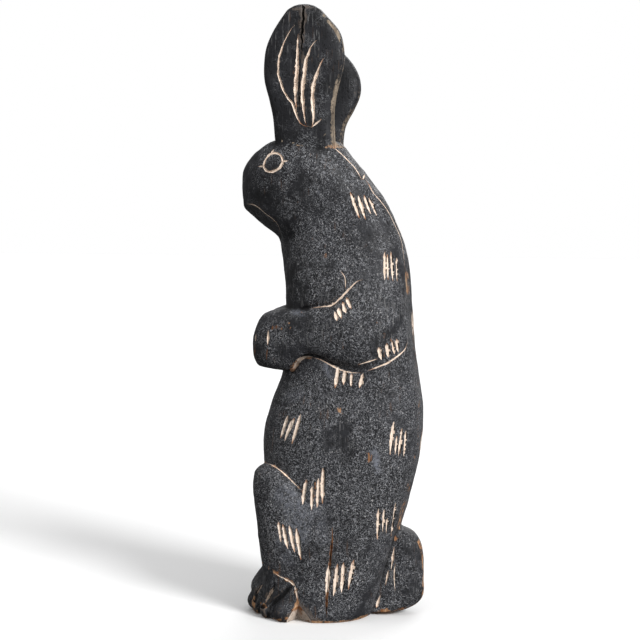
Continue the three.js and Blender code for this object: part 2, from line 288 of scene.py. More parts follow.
# four toes on each foot, the outer one a broad block
for chain, radius in (
    ([[43, -20, 15], [49, -28, 11], [53.2, -36.3, 7.2]], [15.5, 12.5, 9.6]),
    ([[33, -38, 25], [39, -47, 14], [41.5, -52.5, 7.4]], [9.5, 10.2, 9.2]),
    ([[22, -51, 25], [24, -59, 14], [25.5, -63.6, 7.8]], [9.5, 10.2, 9.3]),
    ([[12, -58, 25], [12, -66, 15], [12.5, -70.2, 8.6]], [8.5, 9.6, 9.2]),
):
    for q in on_both(chain):
        s, d = tube(q, radius)
        put(s, d, 0.9)

# arms: crisp over and under the forearm, one with the shoulder behind
lo_, hi_, axi, axo = (along(ARM, k) for k in (1, 2, 3, 4))
s, x, y, z = window((-67, -80, 215), (67, 74, 312))
yy = np.clip(y.ravel().astype(float), -71, 66)
square_end = lambda t: np.clip(1 - (1 - np.clip(t, 0, 1)) ** 2.7, 0, 1) ** (1 / 2.7)
cap = np.maximum(square_end((yy + 71) / 9) * closing(66 - yy, 11), 0.02)
g = lambda v: v[None, :, None].astype(np.float32)
d = section(np.abs(x), z, g((axi(yy) + axo(yy)) / 2), g((lo_(yy) + hi_(yy)) / 2), g((axo(yy) - axi(yy)) / 2 * cap), g((hi_(yy) - lo_(yy)) / 2 * cap), 2.9, 2.9)
d = np.maximum(d, np.maximum(y - 66, -71 - y))
# the forearm's underside slopes in to the belly along this line
UNDERLINE = [[-50, 221], [-38, 224], [-27, 231.5], [-18, 241], [-8, 241], [3, 237.5], [14, 233], [26, 229.5], [38, 229.5], [48, 235], [58, 240.5], [76, 252]]
zl = along(UNDERLINE, 1)(y.ravel())
slope_in = smooth01(y.ravel(), -44, -20)
bevel = 0.66 * (np.abs(x) - g(44.6 + 6 * (1 - slope_in))) - 0.75 * (z - g(zl))
d = np.where(y > -46, smax(d, bevel.astype(np.float32) - g(14 * (1 - slope_in)), 1.6), d)
soft = 1.5 + 7 * smooth01(y + 0.6 * (z - 262), 34, 62) * np.ones_like(d)
put(s, d + (2.2 * smooth01(y, 44, 64)).astype(np.float32), soft)

# tail
tf, tb = (along(TAIL, k) for k in (1, 2))
tail_at = lambda z: (0, (tf(z) + tb(z)) / 2, TAIL_HALF_X * (1 - 0.12 * np.maximum(0, z / 90)), (tb(z) - tf(z)) / 2, 2.4, 2.7)
s, d, (x, y, z) = upright((-30, 5, -8), (30, 93, 95), (0.4, 82), 9, tail_at, cap_low=3)
put(s, d, 1.5)

# ears, each a slab that thins towards its tip
for table, tip, mirror in ((LEFT_EAR, HEIGHT, False), (RIGHT_EAR, RIGHT_EAR_HEIGHT, True)):
    ef, eb = (along(table, k) for k in (1, 2))
    up_ = lambda z: (z - 405) / (tip - 405)
    ear_at = lambda z: (EAR_GAP / 2 + EAR_THICK / 2 + EAR_SPLAY * up_(z), (ef(z) + eb(z)) / 2, EAR_THICK / 2 * (1 - 0.36 * up_(z) ** 3), (eb(z) - ef(z)) / 2, 3.4, 4.4)
    lo = (-40, -66, 400) if mirror else (0, -66, 400)
    hi = (0, 30, 566) if mirror else (40, 30, 566)
    s, d, (x, y, z) = upright(lo, hi, (405, tip), 6, ear_at, mirror=mirror)
    put(s, d, 2.0)


def mesh_data():
    grid = openvdb.FloatGrid(background=FAR)
    grid.copyFromArray(np.ascontiguousarray(field))
    points, quads = grid.convertToQuads(0.0)
    return points.astype(np.float64) * STEP + LOW, quads


# the masses as they are now, to lay the larger carving on them
rough_v, rough_q = mesh_data()
tree = BVHTree.FromPolygons([tuple(c) for c in rough_v], [tuple(q) for q in rough_q.tolist()])


def hit(x, y):
    """(point, normal) that pixel (x, y) of the photograph's frame shows, or None."""
    loc, nor, _, _ = tree.ray_cast(Vector(EYE), Vector(pixel_ray(x, y)))
    return None if loc is None else (np.array(loc), np.array(nor))


def groove(pixels, radius, sink=0.0, k=1.0):
    """A round groove in the grid, on both sides, along a line of pixels. sink moves it into the surface."""
    pts = []
    for x_, y_ in pixels:
        h = hit(x_, y_)
        if h is not None:
            out = h[1] if h[1] @ BACK > 0 else -h[1]
            pts.append(h[0] - out * sink)
    for q in on_both([list(p_) for p_ in pts]):
        s, d = tube(q, np.interp(np.linspace(0, 1, len(q)), np.linspace(0, 1, len(radius)), radius))
        cut(s, d, k)


# between the feet and between the paws
s, d = tube([[0, -86, -8], [0, -82, 20], [0, -69, 40], [0, -60, 58], [0, -60, 80]], [9, 9, 8, 5, 3])
cut(s, d, 2.0)
s, d = tube([[0, -80, 300], [0, -80, 264], [0, -79, 240], [0, -70, 214]], [5, 6, 6, 5])
cut(s, d, 1.5)
# the toes of each foot
groove([(297, 585.5), (292, 587), (287.6, 589.7), (280.6, 597.4), (274.4, 602.5), (269, 607), (267.4, 612), (268.5, 617)], [0.4, 1.2, 1.7, 2.2, 2.4, 2.6, 2.4, 1.6], 0.5, 0.8)
groove([(275.4, 583), (272, 590), (268, 598), (263.6, 606), (260, 612)], [0.5, 1.6, 2.1, 2.3, 2.0], 0.6, 0.8)
groove([(264.4, 580), (260.5, 587), (256.6, 594.5), (254, 602), (252, 608)], [0.5, 1.5, 2.0, 2.1, 1.8], 0.6, 0.8)
# a sharp crease where the forearm meets the belly, and one over the forearm
groove([(291, 372), (295, 367), (299, 361), (305, 356.5), (313, 355.6), (320, 357), (327, 361.4), (334, 365), (341, 368), (352.4, 371.4), (361, 372)], [1.6, 2.4, 2.6, 2.6, 2.4, 2.2, 2.0, 1.8, 1.5, 1.1, 0.5], 0.2, 0.8)
groove([(300, 309), (309.5, 307.6), (319, 306.3), (331.8, 304.4), (339.5, 298.4), (345.4, 292.4), (353, 284.6)], [1.2, 1.8, 1.8, 1.7, 1.5, 1.2, 0.6], 0.0, 0.8)

# ---------------------------------------------------------------- mesh of the carved surface
verts, quads = mesh_data()


def new_mesh(name, v, f, smooth=True):
    me = bpy.data.meshes.new(name)
    f = np.asarray(f)
    me.vertices.add(len(v))
    me.vertices.foreach_set("co", np.asarray(v, np.float32).ravel())
    me.loops.add(f.size)
    me.loops.foreach_set("vertex_index", f.astype(np.int32).ravel())
    me.polygons.add(len(f))
    me.polygons.foreach_set("loop_start", (np.arange(len(f)) * f.shape[1]).astype(np.int32))
    me.update(calc_edges=True)
    me.validate()
    if smooth:
        me.shade_smooth()
    return me


def new_object(name, me):
    o = bpy.data.objects.new(name, me)
    bpy.context.scene.collection.objects.link(o)
    return o


def coords(me):
    a = np.empty(len(me.vertices) * 3, np.float32)
    me.vertices.foreach_get("co", a)
    return a.reshape(-1, 3).astype(np.float64)


def normals(me):
    a = np.empty(len(me.vertices) * 3, np.float32)
    me.vertex_normals.foreach_get("vector", a)
    return a.reshape(-1, 3).astype(np.float64)


def settle(o):
    """o's mesh with its modifiers applied."""
    dg = bpy.context.evaluated_depsgraph_get()
    me = bpy.data.meshes.new_from_object(o.evaluated_get(dg))
    o.modifiers.clear()
    old = o.data
    o.data = me
    bpy.data.meshes.remove(old)
    return me


me = new_mesh("surface", verts, quads)
# faces must look out
c0 = coords(me)
top = int(np.argmax(c0[:, 2]))
if normals(me)[top][2] < 0:
    me.flip_normals()
piece = new_object("rabbit", me)

# relief: slow undulation, flat tool marks and a fine uneven skin
v, n = coords(me), normals(me)
calm = np.clip(smooth01(v[:, 2], 4, 14), 0.15, 1) * (1 - 0.6 * smooth01(v[:, 2], 440, 470))
undulate = 0.55 * noise(v, 34, 1) + 0.3 * noise(v, 17, 2)
marks = facets(v, 13, 11, (1, 1, 1.9))
fine = 0.16 * noise(v, 5.5, 3, (1, 1, 1.7)) + 0.13 * noise(v, 3.0, 4, (1, 1, 1.4))
v = v + n * ((undulate - 0.45 * (0.45 - marks) + fine) * calm)[:, None]
me.vertices.foreach_set("co", v.astype(np.float32).ravel())
me.update()

mod = piece.modifiers.new("fewer", "DECIMATE")
mod.ratio = min(1.0, TRIANGLES / (2.0 * len(quads)))
me = settle(piece)
me.shade_smooth()

# ---------------------------------------------------------------- cuts
v, n = coords(me), normals(me)
polys = [tuple(p.vertices) for p in me.polygons]
tree = BVHTree.FromPolygons([tuple(c) for c in v], polys)


def hit_along(origin, way):
    loc, nor, _, _ = tree.ray_cast(Vector(origin), Vector(way))
    return None if loc is None else (np.array(loc), np.array(nor))


def resample(points, step=None, count=None):
    P = np.array(points, float)
    t = np.concatenate([[0], np.cumsum(np.linalg.norm(np.diff(P, axis=0), axis=1))])
    if count is None:
        count = max(6, int(round(t[-1] / step)) + 1)
    u = np.linspace(0, t[-1], count)
    # Catmull-Rom through the points
    out = []
    for w in u:
        i = int(np.clip(np.searchsorted(t, w, side="right") - 1, 0, len(P) - 2))
        h = t[i + 1] - t[i]
        s_ = (w - t[i]) / h if h > 1e-9 else 0
        m = lambda j: (P[min(j + 1, len(P) - 1)] - P[max(j - 1, 0)]) / max(1e-9, t[min(j + 1, len(P) - 1)] - t[max(j - 1, 0)])
        s2, s3 = s_ * s_, s_ ** 3
        out.append((2 * s3 - 3 * s2 + 1) * P[i] + (s3 - 2 * s2 + s_) * h * m(i) + (3 * s2 - 2 * s3) * P[i + 1] + (s3 - s2) * h * m(i + 1))
    return np.array(out)


def smooth_line(a, times=2, closed=False):
    a = a.copy()
    for _ in range(times):
        if closed:
            a = (np.roll(a, 1, 0) + 2 * a + np.roll(a, -1, 0)) / 4
        else:
            a[1:-1] = (a[:-2] + 2 * a[1:-1] + a[2:]) / 4
    return a


cutters = []  # (vertices, faces, kind)
trail = []  # (point, share of the way along, kind) for the colours inside the cuts


def ragged(rng, m, amount, closed=False):
    r = rng.uniform(-1, 1, m)
    r = 0.6 * r + 0.8 * (np.roll(r, 1) + np.roll(r, -1)) / 2
    return 1 + amount * r


def gouge(line, nor, width, depth, kind=1, seed=0, lift=1.2, closed=False, rough=0.2, head=0.3, tail_=0.4, lean=0.0, blunt=0.0, wall=0.0, wall_kind=2):
    """A cutter that takes a rounded V out of the surface along line. width and depth are the cut's at its widest.
    head and tail_ say how slowly each end runs out, lean tips the V towards one side, and wall is how much of
    the V's right wall, looked at with the line running down, is of wall_kind, near black by default: painted shade on
    that wall."""
    L, U = np.array(line, float), np.array(nor, float)
    m = len(L)
    rng = np.random.default_rng(1000 + seed)
    way = np.gradient(L, axis=0) if not closed else (np.roll(L, -1, 0) - np.roll(L, 1, 0))
    way /= np.linalg.norm(way, axis=1)[:, None]
    U = U - (U * way).sum(1)[:, None] * way
    U /= np.linalg.norm(U, axis=1)[:, None]
    S = np.cross(way, U)
    t = np.linspace(0, 1, m)
    if closed:
        full = np.ones(m)
    else:
        full = np.minimum(1, (t / max(head, 1e-3) + blunt)) ** 0.9 * np.minimum(1, ((1 - t) / max(tail_, 1e-3) + blunt)) ** 0.9
        full = np.maximum(full, 0.04)
    W = width / 2 * full * ragged(rng, m, rough)
    D = depth * np.maximum(full, 0.0) * ragged(rng, m, 0.5 * rough)
    Lft = ragged(rng, m, 0.8 * rough)
    keep = rng.uniform(0, 1, m)
    keep = (keep + np.roll(keep, 1) + np.roll(keep, -1)) / 3 < 0.5 + (wall - 0.5) * 0.6 if wall > 0 else np.zeros(m, bool)
    rings = []
    for i in range(m):
        w, dd, u, s_, c = W[i], D[i], U[i], S[i], L[i]
        grow = (dd + lift) / max(dd, 0.25)
        top_w = min(w * grow, w + lift * 1.6)
        rings.append([
            c - s_ * top_w * Lft[i] + u * lift,
            c - s_ * (w * 0.5) - u * (dd * 0.72) + s_ * lean * w,
            c + s_ * lean * w - u * dd,
            c + s_ * (w * 0.5) - u * (dd * 0.72) + s_ * lean * w,
            c + s_ * top_w * (2 - Lft[i]) + u * lift,
        ])
    V = np.array(rings).reshape(-1, 3)
    F, K, k = [], [], 5
    turns = m if closed else m - 1
    for i in range(turns):
        j = (i + 1) % m
        for a in range(k):
            b = (a + 1) % k
            p, q, r, t_ = i * k + a, i * k + b, j * k + b, j * k + a
            F += [(p, q, r), (p, r, t_)]
            # the right wall's strips take wall_kind, near black by default, as painted shade
            K += [wall_kind if a == 0 and keep[i] else kind] * 2
    if not closed:
        for a in range(1, k - 1):
            F.append((0, a + 1, a))
            e = (m - 1) * k
            F.append((e, e + a, e + a + 1))
            K += [kind, kind]
    F = np.array(F)
    # turn the faces out
    tri = V[F]
    vol = np.einsum("ij,ij->i", tri[:, 0], np.cross(tri[:, 1], tri[:, 2])).sum()
    if vol < 0:
        F = F[:, ::-1]
    cutters.append((V, F, K))
    for i in range(m):
        trail.append((L[i] - U[i] * D[i] * 0.5, 0.5 if closed else t[i], kind))


def from_pixels(points, step_px=2.4, count=None, times=1, closed=False):
    pts = list(points) + ([points[0]] if closed else [])
    P = resample(pts, step=step_px, count=count)
    if closed:
        P = P[:-1]
    L, U = [], []
    for x_, y_ in P:
        h = hit(x_, y_)
        if h is None:
            continue
        L.append(h[0])
        U.append(h[1])
    L, U = np.array(L), np.array(U)
    return smooth_line(L, times, closed), smooth_line(U, 3, closed)


def mirror_line(L, shift=(0, 0)):
    """The same line on the other side, laid on the surface there."""
    out, nn = [], []
    for p in L:
        q = p.copy()
        q[1] += shift[0]
        q[2] += shift[1]
        h = hit_along((-120, q[1], q[2]), (1, 0, 0))
        if h is None or h[0][0] > -4:
            continue
        out.append(h[0])
        nn.append(h[1])
    if len(out) < 4:
        return None, None
    return smooth_line(np.array(out), 1), smooth_line(np.array(nn), 3)


# short strokes in groups: from, to, width in pixels
STROKES = {
    "neck": [((350.3, 191.8), (359.5, 218.2), 3.6), ((358.3, 195.3), (365.6, 219.4), 3.8), ((364.1, 194.7), (371.0, 214.2), 3.4), ((368.7, 197.6), (376.7, 215.4), 3.2)],
    "back": [((384.7, 252.1), (384.7, 280.1), 3.4), ((387.5, 254.0), (388.2, 280.1), 2.8), ((391.0, 251.4), (393.0, 281.4), 3.4), ((396.7, 257.8), (397.3, 282.0), 3.0)],
    "shoulder": [((334.8, 311.4), (336.9, 320.9), 4.0), ((338.4, 307.6), (341.2, 318.4), 4.0), ((342.9, 301.8), (346.1, 313.3), 4.0), ((346.7, 297.3), (351.2, 308.8), 3.8)],
    "elbow": [((378.6, 347.1), (381.5, 359.8), 4.4), ((386.9, 343.3), (388.2, 357.3), 4.6), ((392.0, 341.4), (394.5, 354.1), 3.8), ((396.5, 338.8), (398.4, 352.2), 4.2)],
    "under_arm": [((338.2, 367.0), (335.0, 388.2), 4.6), ((345.4, 370.6), (343.5, 384.6), 4.0), ((351.8, 373.1), (350.9, 386.5), 3.2), ((363.3, 373.1), (359.5, 387.8), 4.0)],
    "belly": [((288.0, 415.2), (280.4, 438.2), 3.4), ((291.9, 420.3), (284.8, 440.7), 3.0), ((294.4, 417.8), (288.7, 433.0), 2.6), ((300.8, 413.9), (291.9, 443.9), 3.6)],
    "hip": [((393.9, 421.6), (390.1, 454.7), 4.0), ((397.1, 435.6), (395.2, 454.7), 2.8), ((402.2, 428.0), (398.4, 456.0), 3.4), ((406.0, 430.5), (403.7, 456.0), 3.0)],
    "thigh": [((306.5, 479.5), (302.7, 504.4), 3.8), ((312.3, 485.9), (311.6, 510.1), 3.4), ((318.6, 478.2), (317.0, 507.6), 3.8), ((323.1, 468.0), (322.5, 503.7), 4.0)],
    "shin": [((278.5, 521.6), (281.0, 542.0), 3.0), ((282.9, 524.1), (287.9, 548.9), 3.8), ((289.3, 525.4), (294.6, 552.1), 3.8), ((296.3, 528.0), (301.0, 559.8), 4.0)],
    "rump": [((378.6, 508.8), (377.3, 539.4), 3.8), ((384.3, 508.8), (382.8, 531.8), 3.2), ((387.5, 517.8), (386.3, 533.0), 2.8), ((395.8, 502.4), (391.0, 536.9), 4.0)],
    "foot_side": [((328.8, 565.5), (326.5, 597.0), 4.2), ((337.7, 563.6), (333.5, 596.0), 4.0), ((343.8, 562.3), (341.5, 592.9), 4.2), ((354.0, 559.6), (348.4, 589.8), 4.2)],
}
PX = 0.906
seed = 0
kept_lines = {}
for group, rows in STROKES.items():
    for a, b, w in rows:
        seed += 1
        rng = np.random.default_rng(seed)
        mid = ((a[0] + b[0]) / 2 + rng.uniform(-0.35, 0.35), (a[1] + b[1]) / 2)
        L, U = from_pixels([a, mid, b], step_px=1.1)
        if len(L) < 5:
            continue
        # wall=0.75: much of each stroke's right wall is near black, painted shade on the V's shadowed side
        gouge(L, U, 0.92 * w * PX, 0.40 * w * PX, 1, seed, rough=0.24, head=0.2, tail_=0.32, blunt=0.10, lean=-0.2, wall=0.75)
        kept_lines.setdefault(group, []).append((L, w))

# long lines
LINES = {
    # name: (pixels, width px, depth mm, kind, head, tail)
    "ear1": ([(295.1, 24.2), (290.6, 30), (284.2, 42), (281, 51), (279.1, 57.4), (278.4, 70), (278.2, 74.6), (280.4, 81), (283.6, 90.6), (288.7, 99), (292.8, 104), (295.8, 113.3), (300.9, 123.5), (309, 127.2)], 2.3, 1.0, 1, 0.35, 0.2),
    "ear2": ([(298.3, 33), (297.6, 44.6), (297.3, 63.8), (296.4, 76.5), (295.4, 89.3), (295.6, 100), (296.3, 106), (296.8, 111)], 4.2, 1.7, 1, 0.35, 0.3),
    "ear3": ([(316.8, 39.5), (311, 46.6), (308.5, 53.6), (305.9, 60.6), (305.3, 67), (304, 76.5), (302.4, 89.3), (303.0, 100), (303.5, 108), (305, 120.4), (306.6, 125.5)], 3.7, 1.6, 1, 0.3, 0.3),
    "ear4": ([(324.4, 56.8), (320.6, 63.8), (317.4, 72), (314.8, 79.7), (312.9, 89.3), (312.6, 100), (313.4, 112), (313.2, 121.4), (311.6, 127.6)], 4.0, 1.6, 1, 0.3, 0.3),
    "ear5": ([(321.8, 119), (316.2, 123.5), (311, 127.6)], 1.5, 0.6, 1, 0.4, 0.4),
    "mouth": ([(246.5, 203.9), (253.4, 204.6), (260.2, 208.8), (265.6, 213.8), (271.7, 218), (276.3, 222.6), (279, 227.2), (279.8, 232.5)], 1.3, 0.5, 1, 0.2, 0.3),
    "spine1": ([(331.5, 145.4), (341.9, 154.4), (349.5, 162), (354.9, 168), (359.3, 175), (362, 180.4)], 1.6, 0.7, 1, 0.15, 0.2),
    "spine_tick": ([(364.7, 174.5), (362.6, 179.8)], 1.5, 0.6, 1, 0.4, 0.4),
    "spine2": ([(364.4, 177.6), (368, 183), (373.4, 193), (381, 201.6), (388.6, 212.4), (395, 225.4), (399.4, 235), (402, 244), (403.4, 254.7), (405.4, 271)], 1.5, 0.7, 1, 0.1, 0.4),
    "arm_top": ([(309.5, 308.5), (319, 307), (331.8, 305.3), (339.5, 299), (345.4, 293), (357.6, 281), (363, 280)], 1.7, 0.8, 1, 0.3, 0.3),
    "elbow_line": ([(357.6, 365), (366, 362.4), (378, 358.6)], 2.0, 0.8, 1, 0.5, 0.4),
    "elbow_line2": ([(367, 371), (377, 367.3), (387.5, 363), (397, 356.5), (404.7, 349.6), (408, 341)], 1.7, 0.7, 1, 0.25, 0.4),
    "foot_edge": ([(272, 570.6), (278.7, 575.7), (285.7, 579), (290.8, 582), (294.6, 585.4), (296, 591), (297.2, 597), (297.6, 602)], 1.8, 0.8, 1, 0.4, 0.15),
    "toe_a": ([(273.8, 586.6), (270.8, 592.5), (267.6, 598.6), (265.2, 603.2)], 3.2, 1.3, 1, 0.5, 0.4),
    "toe_b": ([(262.8, 584), (260, 588.4), (256.6, 594)], 1.7, 0.7, 1, 0.5, 0.4),
    "tail_edge1": ([(394.4, 546.3), (393.2, 555), (390.9, 570.9)], 2.8, 1.1, 1, 0.4, 0.5),
    "tail_edge2": ([(388.4, 569.5), (387, 578), (385.3, 585.6)], 2.4, 1.0, 1, 0.4, 0.5),
    "tail_edge3": ([(380.6, 594.6), (378.4, 602), (376.3, 608.1)], 3.0, 1.1, 1, 0.5, 0.2),
    "tail_mark": ([(395.8, 561.8), (394.4, 571), (394.4, 579.3), (395.1, 592)], 1.4, 0.6, 1, 0.4, 0.5),
    "knee_edge": ([(263.4, 462.5), (272, 465.2), (281, 471), (291.5, 480.5), (302, 491)], 1.4, 0.6, 1, 0.3, 0.4),
    "crack_low": ([(332.3, 526), (332.3, 540), (331.3, 549.6), (330.4, 559), (329.1, 572), (328.2, 584.6), (326.6, 600), (326.8, 618)], 2.6, 1.0, 3, 0.25, 0.2),
    # the crack's core is kind 2, near black: painted shade down the crack
    "crack_low_core": ([(332.3, 530), (332.0, 540), (331.0, 549.6), (330.1, 559), (328.9, 572), (328.0, 584.6), (326.4, 600), (326.6, 618)], 1.1, 2.6, 2, 0.2, 0.1),
    # the ear's cracks are kind 2, near black: painted shade in the cracks
    "crack_ear": ([(302.6, 5.0), (303.6, 9), (303.0, 14), (303.5, 20), (302.2, 26), (302.6, 31), (301.1, 36), (302.4, 41), (301.4, 47), (302.0, 53), (301.0, 62)], 3.4, 3.0, 2, 0.05, 0.6),
    "crack_ear2": ([(300.6, 60), (300.0, 70), (299.6, 80), (298.9, 92), (299.3, 103), (299.8, 113)], 1.7, 1.2, 2, 0.3, 0.3),
    "under_arm_a": ([(291, 370.5), (295, 366), (299, 360.6), (304, 357.4), (309, 356.6), (314, 357.4)], 3.4, 1.0, 1, 0.35, 0.5),
    "under_arm_b": ([(313, 357.4), (320, 359.4), (327, 363), (334, 366.8), (341, 370), (352.4, 372.6), (362, 372.8)], 1.7, 0.7, 1, 0.25, 0.4),
    "fork": ([(340.2, 270.6), (345.0, 277.6), (345.4, 289)], 1.0, 0.45, 1, 0.4, 0.4),
    "finger1": ([(268.3, 329.5), (268.1, 337), (267.6, 345.4)], 2.6, 1.0, 1, 0.5, 0.4),
    "finger1b": ([(267.7, 347), (267.0, 353), (266.6, 360.5)], 1.3, 0.6, 3, 0.4, 0.4),
    "finger2": ([(255.9, 333.4), (255.7, 338), (255.4, 341.6)], 1.6, 0.7, 1, 0.5, 0.4),
    "finger2b": ([(255.3, 343.6), (254.8, 352), (254.6, 361.4)], 1.2, 0.6, 3, 0.4, 0.4),
}
lines3d = {}
for k_, (name, (pts, w, depth, kind, head, tl)) in enumerate(LINES.items()):
    L, U = from_pixels(pts, step_px=1.3, times=2)
    if len(L) < 4:
        continue
    lines3d[name] = (L, U, w, depth, kind, head, tl)
    gouge(L, U, 0.78 * w * PX, depth, kind, 300 + k_, rough=0.34, head=head, tail_=tl, lift=1.0)

# the notch behind each foot, cut down to bare wood
for side in (1, -1):
    P = np.array([[62.0, -21.6, 19.5], [40.5, -26.2, -2.5], [72.0, -41.0, -2.5], [72.0, 8.5, -2.5]]) * [side, 1, 1]
    F = np.array([[0, 2, 1], [0, 1, 3], [1, 2, 3], [0, 3, 2]])
    if np.einsum("ij,ij->i", P[F][:, 0], np.cross(P[F][:, 1], P[F][:, 2])).sum() < 0:
        F = F[:, ::-1]
    cutters.append((P, F, [1, 1, 1, 1]))
    trail.append((P[0] * 0.5 + P[1] * 0.5, 0.75, 1))

# the ring of the eye, cut round the pupil, and its two corners
EYE_RING = [(263.9, 165.6), (265.0, 161.0), (266.9, 157.6), (269.4, 154.7), (272.6, 153.0), (276.0, 152.8), (279.2, 154.0), (281.6, 156.9), (283.0, 160.6), (281.9, 164.4), (279.4, 167.8), (275.7, 170.4), (271.2, 171.8), (267.0, 171.0), (264.3, 168.4)]
L, U = from_pixels(EYE_RING, count=34, closed=True, times=1)
gouge(L, U, 1.9 * PX, 1.0, 1, 501, closed=True, rough=0.45, lift=1.0)
eye_ring = L
for k_, (pts, w) in enumerate((([(258.0, 166.4), (261, 166.3), (264.4, 166.0)], 1.7), ([(288.4, 160.9), (285.4, 161.0), (282.6, 161.2)], 1.7), ([(270.6, 154.6), (272.4, 151.6), (274.4, 149.2)], 1.6))):
    L2, U2 = from_pixels(pts, step_px=1.2)
    gouge(L2, U2, w * PX, 0.6, 1, 510 + k_, head=0.6, tail_=0.3, lift=1.2)

# the other side, plainer: the same groups moved a little, with fewer of the fine lines
for g_, rows in kept_lines.items():
    rng = np.random.default_rng(len(g_) * 7 + 3)
    move = rng.uniform(-3.5, 3.5, 2)
    for k_, (L, w) in enumerate(rows):
        M, U = mirror_line(L, move + rng.uniform(-0.8, 0.8, 2))
        if M is None:
            continue
        seed += 1
        gouge(M, U, w * PX * rng.uniform(0.85, 1.05), 0.4 * w * PX, 1, seed, rough=0.24, head=0.45, tail_=0.6, blunt=0.08)
for k_, name in enumerate(("ear2", "ear3", "ear4", "mouth", "spine1", "spine2", "arm_top", "elbow_line2", "foot_edge", "toe_a", "toe_b", "tail_edge1", "tail_edge3", "knee_edge", "finger1", "finger2")):
    L, U, w, depth, kind, head, tl = lines3d[name]
    shift = (0.5, -16) if name.startswith("ear") else (0, 0)
    M, U2 = mirror_line(L, shift)
    if M is None:
        continue
    gouge(M, U2, w * PX, depth, kind, 600 + k_, rough=0.26, head=head, tail_=tl, lift=1.4)
ring = []
for p in eye_ring:
    h = hit_along((-120, p[1], p[2]), (1, 0, 0))
    if h is not None:
        ring.append(h)
if len(ring) > 20:
    gouge(smooth_line(np.array([h[0] for h in ring]), 1, True), smooth_line(np.array([h[1] for h in ring]), 3, True), 2.4 * PX, 1.0, 1, 640, closed=True, rough=0.3, lift=1.2)

# a few strokes on the chest and down the back, which the photograph doesn't show
for k_, (y_way, x_mid, z_mid, long_, lean_) in enumerate((
    (1, -9, 306, 24, 0.05), (1, -2, 308, 25, 0.03), (1, 6, 305, 23, -0.02), (1, 12, 307, 21, -0.05),
    (1, -11, 190, 23, 0.06), (1, -4, 192, 25, 0.02), (1, 4, 190, 24, 0.0), (1, 11, 191, 22, -0.04),
    (-1, -25, 268, 24, -0.04), (-1, -19, 270, 26, -0.02), (-1, -12, 268, 25, 0.02), (-1, -5, 269, 23, 0.03),
    (-1, -26, 158, 26, -0.03), (-1, -19, 160, 27, 0.0), (-1, -12, 158, 25, 0.02), (-1, -5, 160, 24, 0.04),
    (-1, -22, 348, 20, 0.03), (-1, -16, 350, 21, 0.0), (-1, -10, 349, 20, -0.03),
)):
    L, U = [], []
    for t in np.linspace(-0.5, 0.5, 12):
        h = hit_along((x_mid + lean_ * long_ * t * 3, -200 * y_way, z_mid - long_ * t), (0, y_way, 0))
        if h is not None:
            L.append(h[0])
            U.append(h[1])
    if len(L) > 6:
        gouge(smooth_line(np.array(L), 1), smooth_line(np.array(U), 3), 3.2, 1.3, 1, 700 + k_, rough=0.22, head=0.42, tail_=0.6, blunt=0.08)


def ends(a):
    """How near a point of a cut is to one of its ends, from 0 in the middle to 1."""
    return np.abs(2 * a - 1)


# ---------------------------------------------------------------- cutting
slots = [bpy.data.materials.new("slot_%d" % k) for k in range(4)]
for m in slots:
    me.materials.append(m)
cv, cf, cm, at = [], [], [], 0
for V, F, kind in cutters:
    cv.append(V)
    cf.append(F + at)
    cm += kind
    at += len(V)
knife_me = new_mesh("knife", np.concatenate(cv), np.concatenate(cf), smooth=False)
knife_me.polygons.foreach_set("material_index", np.array(cm, np.int32))
for m in slots:
    knife_me.materials.append(m)
knife = new_object("knife", knife_me)
box = new_mesh("block", np.array([[a, b, c] for a in (-150, 150) for b in (-150, 150) for c in (-90, 0)], float),
               np.array([[0, 1, 3, 2], [4, 6, 7, 5], [0, 4, 5, 1], [2, 3, 7, 6], [0, 2, 6, 4], [1, 5, 7, 3]]), smooth=False)
box.polygons.foreach_set("material_index", np.full(6, 3, np.int32))
for m in slots:
    box.materials.append(m)
block = new_object("block", box)


def self_union(o):
    """The cutters cross each other, so they are made one body first."""
    mod = o.modifiers.new("one", "BOOLEAN")
    mod.operation = "UNION"
    mod.solver = "EXACT"
    mod.use_self = True
    mod.material_mode = "INDEX"
    empty = bpy.data.meshes.new("none")
    other = new_object("none", empty)
    mod.object = other
    made = settle(o)
    bpy.data.objects.remove(other)
    return made


self_union(knife)


def take(o, tool, solver="MANIFOLD"):
    mod = o.modifiers.new("cut", "BOOLEAN")
    mod.operation = "DIFFERENCE"
    mod.object = tool
    mod.solver = solver
    mod.material_mode = "INDEX"
    before = len(o.data.polygons)
    made = settle(o)
    return before, len(made.polygons)


print("cut strokes:", take(piece, knife))
print("cut ground:", take(piece, block))
for o in (knife, block):
    bpy.data.objects.remove(o)
me = piece.data


def tidy(me):
    """Takes out what the cuts leave: triangles laid back to back, points on top of each other, and crumbs."""
    bm = bmesh.new()
    bm.from_mesh(me)
    bmesh.ops.remove_doubles(bm, verts=bm.verts, dist=0.004)
    bmesh.ops.dissolve_degenerate(bm, edges=bm.edges, dist=0.004)
    bmesh.ops.triangulate(bm, faces=bm.faces, quad_method="SHORT_EDGE", ngon_method="BEAUTY")
    bm.verts.index_update()
    gone = True
    while gone:
        found, gone = {}, []
        for f in bm.faces:
            key = frozenset(p.index for p in f.verts)
            if key in found:
                gone += [f, found.pop(key)]
            else:
                found[key] = f
        bmesh.ops.delete(bm, geom=gone, context="FACES")
    # crumbs that hang on by one edge
    bm.faces.index_update()
    seen_, crumbs = set(), []
    for f in bm.faces:
        if f.index in seen_:
            continue
        island, queue = [], [f]
        seen_.add(f.index)
        while queue:
            q = queue.pop()
            island.append(q)
            for e in q.edges:
                if len(e.link_faces) == 2:
                    for r in e.link_faces:
                        if r.index not in seen_:
                            seen_.add(r.index)
                            queue.append(r)
        if len(island) < 60:
            crumbs += island
    bmesh.ops.delete(bm, geom=crumbs, context="FACES")
    print("crumbs:", len(crumbs))
    bm.to_mesh(me)
    bm.free()


tidy(me)
kinds = np.empty(len(me.polygons), np.int32)
me.polygons.foreach_get("material_index", kinds)
print("faces by kind:", np.bincount(kinds, minlength=4), "vertices", len(me.vertices))

